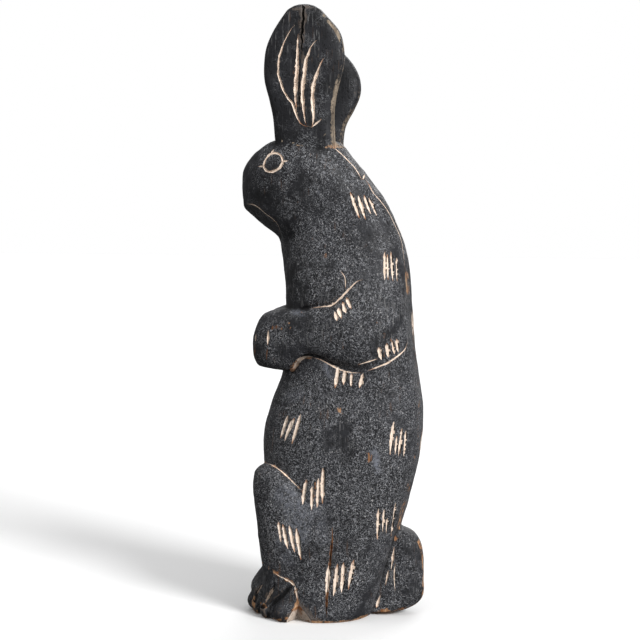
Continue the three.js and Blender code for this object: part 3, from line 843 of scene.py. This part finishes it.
# ---------------------------------------------------------------- colours carried by the mesh
v, n = coords(me), normals(me)
px = to_pixel(v)
facing = n @ BACK


def attribute(name, values, domain="POINT"):
    a = me.attributes.new(name, "FLOAT", domain)
    a.data.foreach_set("value", np.asarray(values, np.float32))


def near_line(points, q):
    """Distance in pixels from each of q to a line of pixels."""
    P = np.array(points, float)
    best = np.full(len(q), 1e9)
    for a, b in zip(P[:-1], P[1:]):
        ab = b - a
        t = np.clip(((q - a) @ ab) / max(1e-9, ab @ ab), 0, 1)
        best = np.minimum(best, np.linalg.norm(q - a - t[:, None] * ab, axis=1))
    return best


edges = np.empty(len(me.edges) * 2, np.int32)
me.edges.foreach_get("vertices", edges)
edges = edges.reshape(-1, 2)
count = np.bincount(edges.ravel(), minlength=len(v)).astype(float)


def spread(a, times):
    for _ in range(times):
        s_ = np.zeros(len(a))
        np.add.at(s_, edges[:, 0], a[edges[:, 1]])
        np.add.at(s_, edges[:, 1], a[edges[:, 0]])
        a = 0.5 * a + 0.5 * s_ / np.maximum(count, 1)
    return a


# how convex the surface is, per millimetre, over a few millimetres
def convexity(times):
    c = np.stack([spread(v[:, k], times) for k in range(3)], 1)
    return ((v - c) * n).sum(1)


ridge = convexity(6)

seen = (facing > -0.15) & (v[:, 0] > -30)
wear = np.zeros(len(v))


def rub(points, radius, amount, sel=None, rag=0.6, size=3.0, seed_=40):
    """Wears the paint along a line of pixels."""
    global wear
    dist = near_line(points, px) if len(points) > 1 else np.linalg.norm(px - np.array(points[0]), axis=1)
    w = 1 - smooth01(dist, radius * 0.35, radius)
    w = w * np.clip(1 - rag + rag * (0.5 + 1.1 * noise(v, size, seed_)), 0, 1.2)
    ok = seen if sel is None else (seen & sel)
    wear = np.maximum(wear, np.where(ok, w * amount, 0))


left_ear = (v[:, 0] > 2) & (v[:, 2] > 430)
right_ear = (v[:, 0] < -2) & (v[:, 2] > 430)
rear = n[:, 1] > 0.45
# the squared rear edge of each ear
for ear, tip in ((left_ear, 520), (right_ear, 505)):
    band = ear & rear & (v[:, 2] < tip)
    w = smooth01(n[:, 1], 0.45, 0.8) * smooth01(-v[:, 2], -tip, -tip + 40)
    wear = np.maximum(wear, np.where(band, w * (0.55 + 0.3 * noise(v, 6, 51, (1, 1, 4))), 0))
rub([(324, 15.5), (336.5, 31), (342.6, 44.5), (345.6, 56), (345.2, 66), (341.6, 80)], 2.6, 0.85, left_ear)
# the foot of the figure
low = (1 - smooth01(v[:, 2] + 2.2 * noise(v, 6, 61), 0.6, 4.2)) * (0.55 + 0.35 * noise(v, 16, 62))
low *= np.where(v[:, 1] < -26, 0.45, 1.0)
wear = np.maximum(wear, np.where(n[:, 2] < 0.6, low, 0))
# tail: right edge and underside
rub([(418, 541), (421.6, 548), (423.8, 558), (424.5, 572), (424.3, 589), (423.4, 600)], 3.2, 0.8)
rub([(423.4, 600), (418, 605.4), (411, 608.4), (400.7, 611.4), (376, 612)], 5.0, 0.9)
rub([(410, 480), (405, 500), (400, 520), (396, 540)], 3.0, 0.55)
rub([(406.5, 273), (407.6, 284), (408.4, 294)], 3.0, 0.7)
rub([(412, 330), (415.5, 366), (419, 400), (418, 440), (414, 462)], 2.4, 0.4)
rub([(266, 618), (275.5, 621.6), (285, 619.4), (291.5, 617.4), (297, 617)], 3.2, 0.95)
rub([(297.3, 603), (294.6, 609), (291.5, 615.5)], 3.0, 0.95)
rub([(297.6, 603), (300.4, 609.5), (304.4, 616)], 2.6, 0.8)
rub([(262, 462), (272, 465), (283, 472.4), (296, 484), (303, 492)], 2.6, 0.5)
rub([(262, 563), (272, 570), (282, 577), (291, 582), (295.6, 588), (297, 600)], 3.0, 0.6)
rub([(292, 369), (296, 364)], 5.0, 0.75)
rub([(299, 361), (304, 357.6), (313, 357.4)], 2.4, 0.6)
rub([(246, 204), (253.4, 204.6), (260.2, 208.8), (265.6, 213.8), (271.7, 218), (276.3, 222.6), (279.8, 232.5)], 2.2, 0.35)
rub([(357, 283), (363, 280.6)], 2.4, 0.6)
rub([(299, 313.6), (305, 312.4)], 2.8, 0.45)
rub([(254.8, 609.5), (258, 613)], 3.0, 0.55)
rub([(262.8, 616.5), (268, 619)], 3.0, 0.5)
rub([(253.5, 597), (253.5, 608)], 2.6, 0.8)
rub([(261.5, 603), (265.5, 606.5), (262.8, 601.2)], 3.0, 0.7)
rub([(335, 398.5), (337, 403.6), (339.5, 409)], 1.6, 0.75)
rub([(338.6, 408.6), (340.6, 411), (342.6, 415)], 2.4, 0.95, rag=0.9, size=2.0)
rub([(330, 398.6), (334, 397.4), (337, 403.6)], 1.3, 0.55)
rub([(342, 65), (335.6, 74.5), (331.5, 83.7), (329.5, 91.8), (328, 100)], 1.7, 0.45, left_ear)
rub([(315, 10), (314, 29)], 1.8, 0.35, left_ear)
rub([(319.3, 12.8), (319.3, 30)], 1.8, 0.35, left_ear)
rub([(314.0, 32), (314.8, 35.4), (316.4, 32.4)], 1.5, 0.8, left_ear)
rub([(319.3, 48.5), (318.6, 57.4)], 1.7, 0.5, left_ear)
rub([(326.4, 133.7), (324.6, 136.6), (321.3, 138.8)], 1.4, 0.8)
rub([(282, 141), (286, 142.6), (292.4, 143.4)], 1.4, 0.7, rag=1.0, size=2)
rub([(296, 144.5), (304, 146.4)], 1.3, 0.75)
rub([(325.6, 147.5), (331.4, 145.6)], 2.0, 0.9)
rub([(292, 151.8)], 1.4, 0.8)
rub([(288.5, 324.4), (290.4, 321.3)], 1.2, 0.8)
rub([(287, 331.3), (291.7, 326.6)], 1.2, 0.8)

brown = np.zeros(len(v))


def stain(points, radius, amount, sel=None):
    global brown
    dist = near_line(points, px) if len(points) > 1 else np.linalg.norm(px - np.array(points[0]), axis=1)
    w = (1 - smooth01(dist, radius * 0.3, radius)) * np.clip(0.75 + 0.9 * noise(v, 2.4, 71, (1, 1, 2.5)), 0, 1)
    brown = np.maximum(brown, np.where(seen if sel is None else seen & sel, w * amount, 0))


stain([(370, 454), (370, 461)], 3.2, 1.0)
stain([(400, 389), (400.5, 391)], 4.0, 0.6)
stain([(298, 203), (298.4, 214)], 2.6, 0.55)
stain([(311.6, 231), (312, 239)], 2.4, 0.6)
stain([(324.6, 243), (327, 258)], 2.2, 0.5)
stain([(343.5, 340), (343.5, 351)], 2.2, 0.55)
stain([(352, 338), (352, 348)], 2.0, 0.45)
stain([(273.5, 328), (281, 327.6)], 4.0, 0.9)
stain([(361.4, 330.5), (367.8, 323.5), (376, 322), (383, 321.6)], 1.7, 0.7)
stain([(384, 332), (385, 338)], 2.0, 0.5)
stain([(327.8, 487)], 2.2, 0.9)
stain([(314.6, 484), (314.6, 496)], 1.8, 0.9)
stain([(400.5, 430), (399.5, 452)], 1.8, 0.8)
stain([(390, 455.5), (390, 449)], 2.6, 0.7)
stain([(391, 340), (396, 346)], 3.4, 0.6)
stain([(383, 347), (384, 356)], 2.2, 0.5)
stain([(266, 213), (273, 218)], 2.4, 0.3)
stain([(290, 188), (291, 196)], 2.0, 0.3)
stain([(307.5, 190), (307.5, 197)], 2.4, 0.35)
stain([(304, 16), (300, 28)], 3.0, 0.3, left_ear)
stain([(296.5, 36), (295, 60), (294, 76)], 2.6, 0.45, left_ear)

# pale grey patches: partly greyish worn paint, partly painted sheen on lit tops such as the knee and the forearm
pale = np.zeros(len(v))
for pts, r_, a_ in (([(374, 452), (376, 460), (377, 470)], 5.5, 1.0), ([(326, 366), (330, 376)], 5, 0.7), ([(318, 192)], 2.6, 1.2), ([(294, 312), (303, 313.4)], 4.5, 0.7), ([(286, 398), (300, 394)], 9, 0.25), ([(286, 496), (300, 515), (297, 535)], 17, 0.55), ([(300, 510), (308, 520)], 10, 0.4), ([(318, 500), (322, 540)], 9, 0.25), ([(282, 540), (288, 560)], 9, 0.3)):
    dist = near_line(pts, px) if len(pts) > 1 else np.linalg.norm(px - np.array(pts[0]), axis=1)
    pale = np.maximum(pale, np.where(seen, (1 - smooth01(dist, r_ * 0.3, r_)) * a_, 0))

# how thick the pale flecks lie, painted glints on the wrinkled paint: thick on the belly, haunch and shoulder, thin on
# the head, ears, paws and feet
def spot(x, y, r0, r1):
    """1 within r0 pixels of a point of the visible side, falling to 0 at r1."""
    return (1 - smooth01(np.linalg.norm(px - np.array([x, y]), axis=1), r0, r1)) * seen


fleck = 0.62 + 0.30 * noise(v, 42, 81) + 0.2 * noise(v, 20, 82)
fleck += 0.25 * smooth01(v[:, 2], 60, 110) * (1 - smooth01(v[:, 2], 225, 245))
fleck -= 0.45 * spot(341, 442, 8, 26)
fleck -= 0.35 * (v[:, 2] > 225) * (v[:, 2] < 292) * smooth01(-v[:, 1], 0, 30)
fleck -= 0.3 * (1 - smooth01(v[:, 2], 40, 60)) * smooth01(-v[:, 1], 25, 40)
fleck -= 0.2 * smooth01(v[:, 2], 360, 390) * smooth01(-v[:, 1], 20, 50)
fleck -= 0.85 * smooth01(v[:, 2], 425, 450)
fleck -= 0.4 * smooth01(-v[:, 1], 10, 40) * smooth01(v[:, 2], 285, 300) * (1 - smooth01(v[:, 2], 350, 370))
fleck -= 0.25 * smooth01(v[:, 1], 60, 75) * (v[:, 2] < 95)
# upright grain shows on the arm, the chest, the shins, the tail and the ears
grain = 0.30 + 0.3 * noise(v, 50, 83)
grain += 0.55 * smooth01(v[:, 2], 228, 245) * (1 - smooth01(v[:, 2], 300, 325))
grain += 0.35 * (1 - smooth01(v[:, 2], 120, 150)) * smooth01(-v[:, 1], 10, 35)
grain += 0.4 * smooth01(-v[:, 1], 0, 30) * smooth01(v[:, 2], 285, 300) * (1 - smooth01(v[:, 2], 350, 370))
grain += 0.35 * smooth01(v[:, 1], 30, 55) * (v[:, 2] < 90)
grain += 0.25 * smooth01(v[:, 2], 430, 455)
grain += 0.3 * spot(341, 442, 8, 26)

worn_ridge = np.clip(ridge * 3.2 - 0.45, 0, 1)
# how orange the bare wood is: grey-tan behind the ears, orange at the tail and the base
warm = 0.62 + 0.25 * noise(v, 14, 91)
warm -= 0.6 * smooth01(v[:, 2], 425, 440)
warm += 0.25 * (1 - smooth01(v[:, 2], 60, 90))

# inside the cuts: nearness to the ends, for the darker wood there
kd = KDTree(len(trail))
for i, (p, _, _) in enumerate(trail):
    kd.insert(Vector(p), i)
kd.balance()
cut_faces = np.where((kinds == 1) | (kinds == 3))[0]
tint = np.zeros(len(v))
touched = np.zeros(len(v), bool)
for f_ in cut_faces:
    for i in me.polygons[int(f_)].vertices:
        touched[i] = True
for i in np.where(touched)[0]:
    _, j, _ = kd.find(Vector(v[i]))
    tint[i] = ends(np.array(trail[j][1]))

attribute("wear", np.clip(wear, 0, 1))
attribute("brown", np.clip(brown, 0, 1))
attribute("pale", np.clip(pale, 0, 1.2))
attribute("fleck", np.clip(fleck, 0, 1.2))
attribute("grain", np.clip(grain, 0, 1.2))
attribute("ridge", worn_ridge)
# concavity, for painted shade in the creases
attribute("crease_shade", np.clip(-ridge * 2.6 - 0.25, 0, 1))
attribute("warm", np.clip(warm, 0, 1))
attribute("tint", tint)
attribute("carve", kinds.astype(float), "FACE")

# crisp edges where a cut meets the paint
loops_e = np.empty(len(me.loops), np.int32)
me.loops.foreach_get("edge_index", loops_e)
starts = np.empty(len(me.polygons), np.int32)
me.polygons.foreach_get("loop_start", starts)
totals = np.empty(len(me.polygons), np.int32)
me.polygons.foreach_get("loop_total", totals)
face_of_loop = np.repeat(np.arange(len(me.polygons)), totals)
low_k = np.full(len(me.edges), 99)
high_k = np.full(len(me.edges), -1)
np.minimum.at(low_k, loops_e, kinds[face_of_loop])
np.maximum.at(high_k, loops_e, kinds[face_of_loop])
me.shade_smooth()
sharp = me.attributes.get("sharp_edge") or me.attributes.new("sharp_edge", "BOOLEAN", "EDGE")
sharp.data.foreach_set("value", low_k != high_k)
me.polygons.foreach_set("material_index", np.zeros(len(me.polygons), np.int32))
me.materials.clear()

# into the row frame, in metres
me.transform(Matrix.Scale(0.001, 4) @ Matrix.Translation((0, BACK_SHIFT, 0)))
me.update()

# ---------------------------------------------------------------- materials
def material(name):
    m = bpy.data.materials.new(name)
    m.use_nodes = True
    nt = m.node_tree
    return m, nt, nt.nodes["Principled BSDF"], nt.nodes["Material Output"]


class Nodes:
    """Short ways to make the nodes of one material."""

    def __init__(self, nt):
        self.nt = nt

    def new(self, kind, **values):
        nd = self.nt.nodes.new(kind)
        for k, val in values.items():
            setattr(nd, k, val)
        return nd

    def wire(self, a, b):
        self.nt.links.new(a, b)

    def attr(self, name):
        nd = self.new("ShaderNodeAttribute", attribute_name=name)
        return nd.outputs["Fac"]

    def math(self, op, a, b=None, c=None, clamp=False):
        nd = self.new("ShaderNodeMath", operation=op, use_clamp=clamp)
        for k, val in enumerate((a, b, c)):
            if val is None:
                continue
            if isinstance(val, (int, float)):
                nd.inputs[k].default_value = val
            else:
                self.wire(val, nd.inputs[k])
        return nd.outputs[0]

    def ramp(self, a, lo, hi, out_lo=0.0, out_hi=1.0, smooth=True):
        nd = self.new("ShaderNodeMapRange", interpolation_type="SMOOTHSTEP" if smooth else "LINEAR")
        self.wire(a, nd.inputs["Value"])
        nd.inputs["From Min"].default_value = lo
        nd.inputs["From Max"].default_value = hi
        nd.inputs["To Min"].default_value = out_lo
        nd.inputs["To Max"].default_value = out_hi
        return nd.outputs["Result"]

    def noise(self, vec, scale, detail=2.0, rough=0.5, distortion=0.0):
        nd = self.new("ShaderNodeTexNoise")
        self.wire(vec, nd.inputs["Vector"])
        nd.inputs["Scale"].default_value = scale
        nd.inputs["Detail"].default_value = detail
        nd.inputs["Roughness"].default_value = rough
        nd.inputs["Distortion"].default_value = distortion
        return nd.outputs["Fac"]

    def stretched(self, vec, scale):
        nd = self.new("ShaderNodeMapping")
        self.wire(vec, nd.inputs["Vector"])
        nd.inputs["Scale"].default_value = scale
        return nd.outputs["Vector"]

    def mix(self, fac, a, b, mode="MIX"):
        nd = self.new("ShaderNodeMix", data_type="RGBA", blend_type=mode)
        for sock, val in ((nd.inputs["Factor"], fac), (nd.inputs[6], a), (nd.inputs[7], b)):
            if isinstance(val, (int, float)):
                sock.default_value = val
            elif isinstance(val, tuple):
                sock.default_value = (*val, 1)
            else:
                self.wire(val, sock)
        return nd.outputs[2]


wood, nt, shader, out = material("blackened_wood")
N_ = Nodes(nt)
pos = N_.new("ShaderNodeTexCoord").outputs["Object"]
upright_ = N_.stretched(pos, (1, 1, 0.09))

# paint: near black, a little blue, wrinkled in fine worm-like lines, with upright grain; the pale worm lines and dots
# are painted glints on the wrinkles, and the darkened pits and grain furrows painted shade
worm = N_.noise(pos, 390, 0.6, 0.5, 1.1)
worm = N_.ramp(N_.math("ABSOLUTE", N_.math("SUBTRACT", worm, 0.5)), 0.046, 0.014)
worm_b = N_.noise(pos, 480, 0.6, 0.5, 0.7)
worm_b = N_.ramp(N_.math("ABSOLUTE", N_.math("SUBTRACT", worm_b, 0.47)), 0.044, 0.014)
broken = N_.ramp(N_.noise(pos, 210, 2.0, 0.6), 0.44, 0.56)
fleck_amount = N_.attr("fleck")
patch = N_.math("ADD", N_.noise(pos, 70, 3.0, 0.6), N_.math("MULTIPLY", fleck_amount, 0.34))
patch = N_.ramp(patch, 0.46, 0.82)
worms = N_.math("MAXIMUM", N_.math("MULTIPLY", worm, broken), N_.math("MULTIPLY", worm_b, N_.math("SUBTRACT", 1.0, broken)))
wrinkles_and_glints = N_.math("MULTIPLY", worms, patch, clamp=True)
glint_dots = N_.math("MULTIPLY", N_.ramp(N_.noise(pos, 620, 1.0, 0.5), 0.66, 0.74), patch)
pits = N_.ramp(N_.noise(pos, 380, 2.0, 0.6), 0.44, 0.34)
streak_n = N_.noise(upright_, 640, 3.0, 0.6)
streak = N_.ramp(streak_n, 0.55, 0.68)
furrow_shade = N_.ramp(streak_n, 0.43, 0.33)
streak_wide = N_.noise(upright_, 230, 2.0, 0.5)
grain_amount = N_.ramp(N_.attr("grain"), 0.15, 0.9)
streaks = N_.math("MULTIPLY", N_.math("MULTIPLY", streak, grain_amount), N_.ramp(streak_wide, 0.38, 0.60), clamp=True)
cloud = N_.noise(pos, 24, 3.0, 0.55)
base = N_.mix(N_.ramp(cloud, 0.32, 0.68), (0.0115, 0.0118, 0.0136), (0.0235, 0.0242, 0.0282))
# painted shade: darker in the paint's pits and down the grain's furrows
base = N_.mix(N_.math("MULTIPLY", pits, 0.75), base, (0.005, 0.005, 0.0055))
base = N_.mix(N_.math("MULTIPLY", N_.math("MULTIPLY", furrow_shade, grain_amount), 0.8), base, (0.006, 0.006, 0.006))
# painted glints: the pale worm lines and dots stand in for light caught on the paint's wrinkles
base = N_.mix(N_.math("MULTIPLY", wrinkles_and_glints, 0.95), base, (0.275, 0.280, 0.298))
base = N_.mix(N_.math("MULTIPLY", glint_dots, 0.8), base, (0.46, 0.45, 0.45))
base = N_.mix(N_.math("MULTIPLY", streaks, 0.8), base, (0.185, 0.183, 0.184))
# brown streaks where the paint is thin
fibre = N_.noise(upright_, 900, 3.0, 0.6)
thin = N_.math("MULTIPLY", N_.ramp(N_.noise(upright_, 330, 2.0, 0.6), 0.60, 0.70), N_.ramp(N_.noise(pos, 30, 1.0, 0.5), 0.52, 0.66), clamp=True)
base = N_.mix(N_.math("MULTIPLY", thin, 0.5), base, (0.10, 0.055, 0.032))
# painted sheen, partly worn grey paint: the pale patches turn the paint blue-grey
base = N_.mix(N_.math("MULTIPLY", N_.attr("pale"), N_.ramp(N_.noise(pos, 300, 3.0, 0.7), 0.35, 0.65)), base, (0.17, 0.18, 0.21))
brown_ = N_.math("ADD", N_.attr("brown"), N_.math("MULTIPLY", N_.math("SUBTRACT", N_.noise(upright_, 420, 3.0, 0.65), 0.5), 1.9))
brown_ = N_.math("MULTIPLY", N_.ramp(brown_, 0.42, 0.72), N_.ramp(N_.attr("brown"), 0.02, 0.25))
brown_c = N_.mix(N_.ramp(N_.noise(upright_, 520, 3.0, 0.7), 0.35, 0.65), (0.085, 0.034, 0.014), (0.33, 0.155, 0.065))
brown_c = N_.mix(N_.ramp(N_.noise(pos, 500, 2.0, 0.7), 0.66, 0.72), brown_c, (0.62, 0.42, 0.27))
base = N_.mix(N_.math("MULTIPLY", brown_, 0.92, clamp=True), base, brown_c)

# bare wood: pale in the fresh cuts, tan to orange brown where the paint is rubbed away
cream = N_.mix(N_.ramp(fibre, 0.35, 0.7), (0.76, 0.60, 0.48), (0.95, 0.82, 0.70))
cream = N_.mix(N_.math("MULTIPLY", N_.ramp(N_.noise(pos, 420, 3.0, 0.65), 0.58, 0.67), 0.8), cream, (0.15, 0.085, 0.055))
ends_ = N_.math("MULTIPLY", N_.ramp(N_.attr("tint"), 0.55, 1.0), N_.ramp(N_.noise(pos, 130, 2.0, 0.5), 0.40, 0.60))
cream = N_.mix(ends_, cream, (0.36, 0.145, 0.05))
tan_mix = N_.ramp(N_.noise(upright_, 240, 3.0, 0.6), 0.3, 0.7)
tan = N_.mix(tan_mix, (0.25, 0.100, 0.038), (0.52, 0.32, 0.185))
tan_dry = N_.mix(tan_mix, (0.135, 0.105, 0.078), (0.37, 0.30, 0.225))
tan = N_.mix(N_.ramp(N_.attr("warm"), 0.2, 0.7), tan_dry, tan)
tan = N_.mix(N_.ramp(N_.noise(pos, 330, 3.0, 0.7), 0.55, 0.64), tan, (0.03, 0.018, 0.013))
rust = N_.mix(N_.ramp(N_.noise(pos, 260, 3.0, 0.6), 0.35, 0.65), (0.11, 0.042, 0.018), (0.34, 0.16, 0.075))

wear_edge = N_.math("ADD", N_.attr("wear"), N_.math("MULTIPLY", N_.math("SUBTRACT", N_.noise(pos, 380, 3.0, 0.7), 0.5), 0.9))
wear_mask = N_.ramp(wear_edge, 0.36, 0.62)
ridge_edge = N_.math("ADD", N_.attr("ridge"), N_.math("MULTIPLY", N_.math("SUBTRACT", N_.noise(pos, 300, 3.0, 0.7), 0.5), 1.3))
ridge_mask = N_.math("MULTIPLY", N_.ramp(ridge_edge, 0.5, 1.0), 0.5)
skin = N_.mix(ridge_mask, base, (0.16, 0.125, 0.10))
# painted shade: near black in the concave creases
skin = N_.mix(N_.math("MULTIPLY", N_.attr("crease_shade"), 0.85), skin, (0.0035, 0.0033, 0.0032))
skin = N_.mix(wear_mask, skin, tan)

carve = N_.attr("carve")
is_cut = N_.math("COMPARE", carve, 1.0, 0.4)
is_shade_black = N_.math("COMPARE", carve, 2.0, 0.4)
is_rust = N_.math("COMPARE", carve, 3.0, 0.4)
colour = N_.mix(is_cut, skin, cream)
# kind 2, near black: painted shade in the cracks and on the shadowed walls of the cuts
colour = N_.mix(is_shade_black, colour, (0.006, 0.005, 0.004))
colour = N_.mix(is_rust, colour, rust)
N_.wire(colour, shader.inputs["Base Color"])

bare = N_.math("MAXIMUM", wear_mask, is_cut)
gloss = N_.ramp(N_.noise(pos, 90, 3.0, 0.6), 0.3, 0.7, 0.50, 0.70)
rough_ = N_.math("ADD", gloss, N_.math("MULTIPLY", bare, 0.2), clamp=True)
N_.wire(rough_, shader.inputs["Roughness"])
shader.inputs["Specular IOR Level"].default_value = 0.25

height = N_.math("ADD", N_.math("MULTIPLY", N_.noise(pos, 420, 3.0, 0.6), 0.5), N_.math("MULTIPLY", N_.math("MULTIPLY", streak_n, grain_amount), 0.8))
height = N_.math("ADD", height, N_.math("MULTIPLY", wrinkles_and_glints, 0.35))
height = N_.math("SUBTRACT", height, N_.math("MULTIPLY", pits, 0.3))
bump = N_.new("ShaderNodeBump")
bump.inputs["Strength"].default_value = 0.7
bump.inputs["Distance"].default_value = 0.0006
N_.wire(height, bump.inputs["Height"])
N_.wire(bump.outputs["Normal"], shader.inputs["Normal"])

me.materials.append(wood)
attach(piece, "root")
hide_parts("carved_rabbit")

# ---------------------------------------------------------------- floor, light, camera
floor_me = new_mesh("floor", np.array([[-6, -6, 0], [6, -6, 0], [6, 6, 0], [-6, 6, 0]], float), np.array([[0, 1, 2, 3]]), smooth=False)
floor = new_object("floor", floor_me)
floor.location = (0, 0, -0.0004)
floor_mat, fnt, fsh, _ = material("pale_floor")
fsh.inputs["Base Color"].default_value = (0.9, 0.9, 0.9, 1)
fsh.inputs["Roughness"].default_value = 0.9
fsh.inputs["Specular IOR Level"].default_value = 0.1
floor_me.materials.append(floor_mat)
floor.visible_diffuse = False
floor.visible_glossy = False

world = bpy.data.worlds.new("studio")
bpy.context.scene.world = world
world.use_nodes = True
wnt = world.node_tree
bg = wnt.nodes["Background"]
bg.inputs["Color"].default_value = (1, 1, 1, 1)
sky = wnt.nodes.new("ShaderNodeTexCoord")
split = wnt.nodes.new("ShaderNodeSeparateXYZ")
grade = wnt.nodes.new("ShaderNodeMapRange")
wnt.links.new(sky.outputs["Generated"], split.inputs[0])
wnt.links.new(split.outputs["Z"], grade.inputs["Value"])
grade.inputs["From Min"].default_value = -0.6
grade.inputs["From Max"].default_value = 0.7
grade.inputs["To Min"].default_value = 0.13
grade.inputs["To Max"].default_value = 0.33
wnt.links.new(grade.outputs["Result"], bg.inputs["Strength"])
white = wnt.nodes.new("ShaderNodeBackground")
white.inputs["Color"].default_value = (1, 1, 1, 1)
white.inputs["Strength"].default_value = 1.0
path = wnt.nodes.new("ShaderNodeLightPath")
pick = wnt.nodes.new("ShaderNodeMixShader")
wnt.links.new(path.outputs["Is Camera Ray"], pick.inputs["Fac"])
wnt.links.new(bg.outputs[0], pick.inputs[1])
wnt.links.new(white.outputs[0], pick.inputs[2])
wnt.links.new(pick.outputs[0], wnt.nodes["World Output"].inputs["Surface"])


def sun(name, az, el, strength, spread_deg):
    """A soft light from azimuth az, elevation el, in degrees, where azimuth 0 is in front of the rabbit."""
    a, e = math.radians(az), math.radians(el)
    way = Vector((math.sin(a) * math.cos(e), -math.cos(a) * math.cos(e), math.sin(e)))
    data = bpy.data.lights.new(name, "SUN")
    data.energy = strength
    data.angle = math.radians(spread_deg)
    o = bpy.data.objects.new(name, data)
    bpy.context.scene.collection.objects.link(o)
    o.location = way * 2
    o.rotation_euler = way.to_track_quat("Z", "Y").to_euler()
    return o


sun("key", 140, 27, 3.7, 20)
sun("top", 100, 75, 0.5, 40)
sun("front", 20, 25, 0.35, 40)
sun("far_side", 262, 32, 1.3, 40)

cam_data = bpy.data.cameras.new("camera")
cam = bpy.data.objects.new("camera", cam_data)
bpy.context.scene.collection.objects.link(cam)
cam_data.sensor_fit = "HORIZONTAL"
cam_data.sensor_width = 36
cam_data.lens = FOCAL_PX / 640 * 36
cam_data.clip_start, cam_data.clip_end = 0.05, 50
cam_data.dof.use_dof = False
where = (EYE + [0, BACK_SHIFT, 0]) / 1000
cam.matrix_world = Matrix(((RIGHT[0], UP[0], BACK[0], where[0]), (RIGHT[1], UP[1], BACK[1], where[1]), (RIGHT[2], UP[2], BACK[2], where[2]), (0, 0, 0, 1)))
bpy.context.scene.camera = cam
bpy.context.scene.view_settings.view_transform = "Standard"
bpy.context.scene.view_settings.look = "None"

bpy.context.view_layer.update()
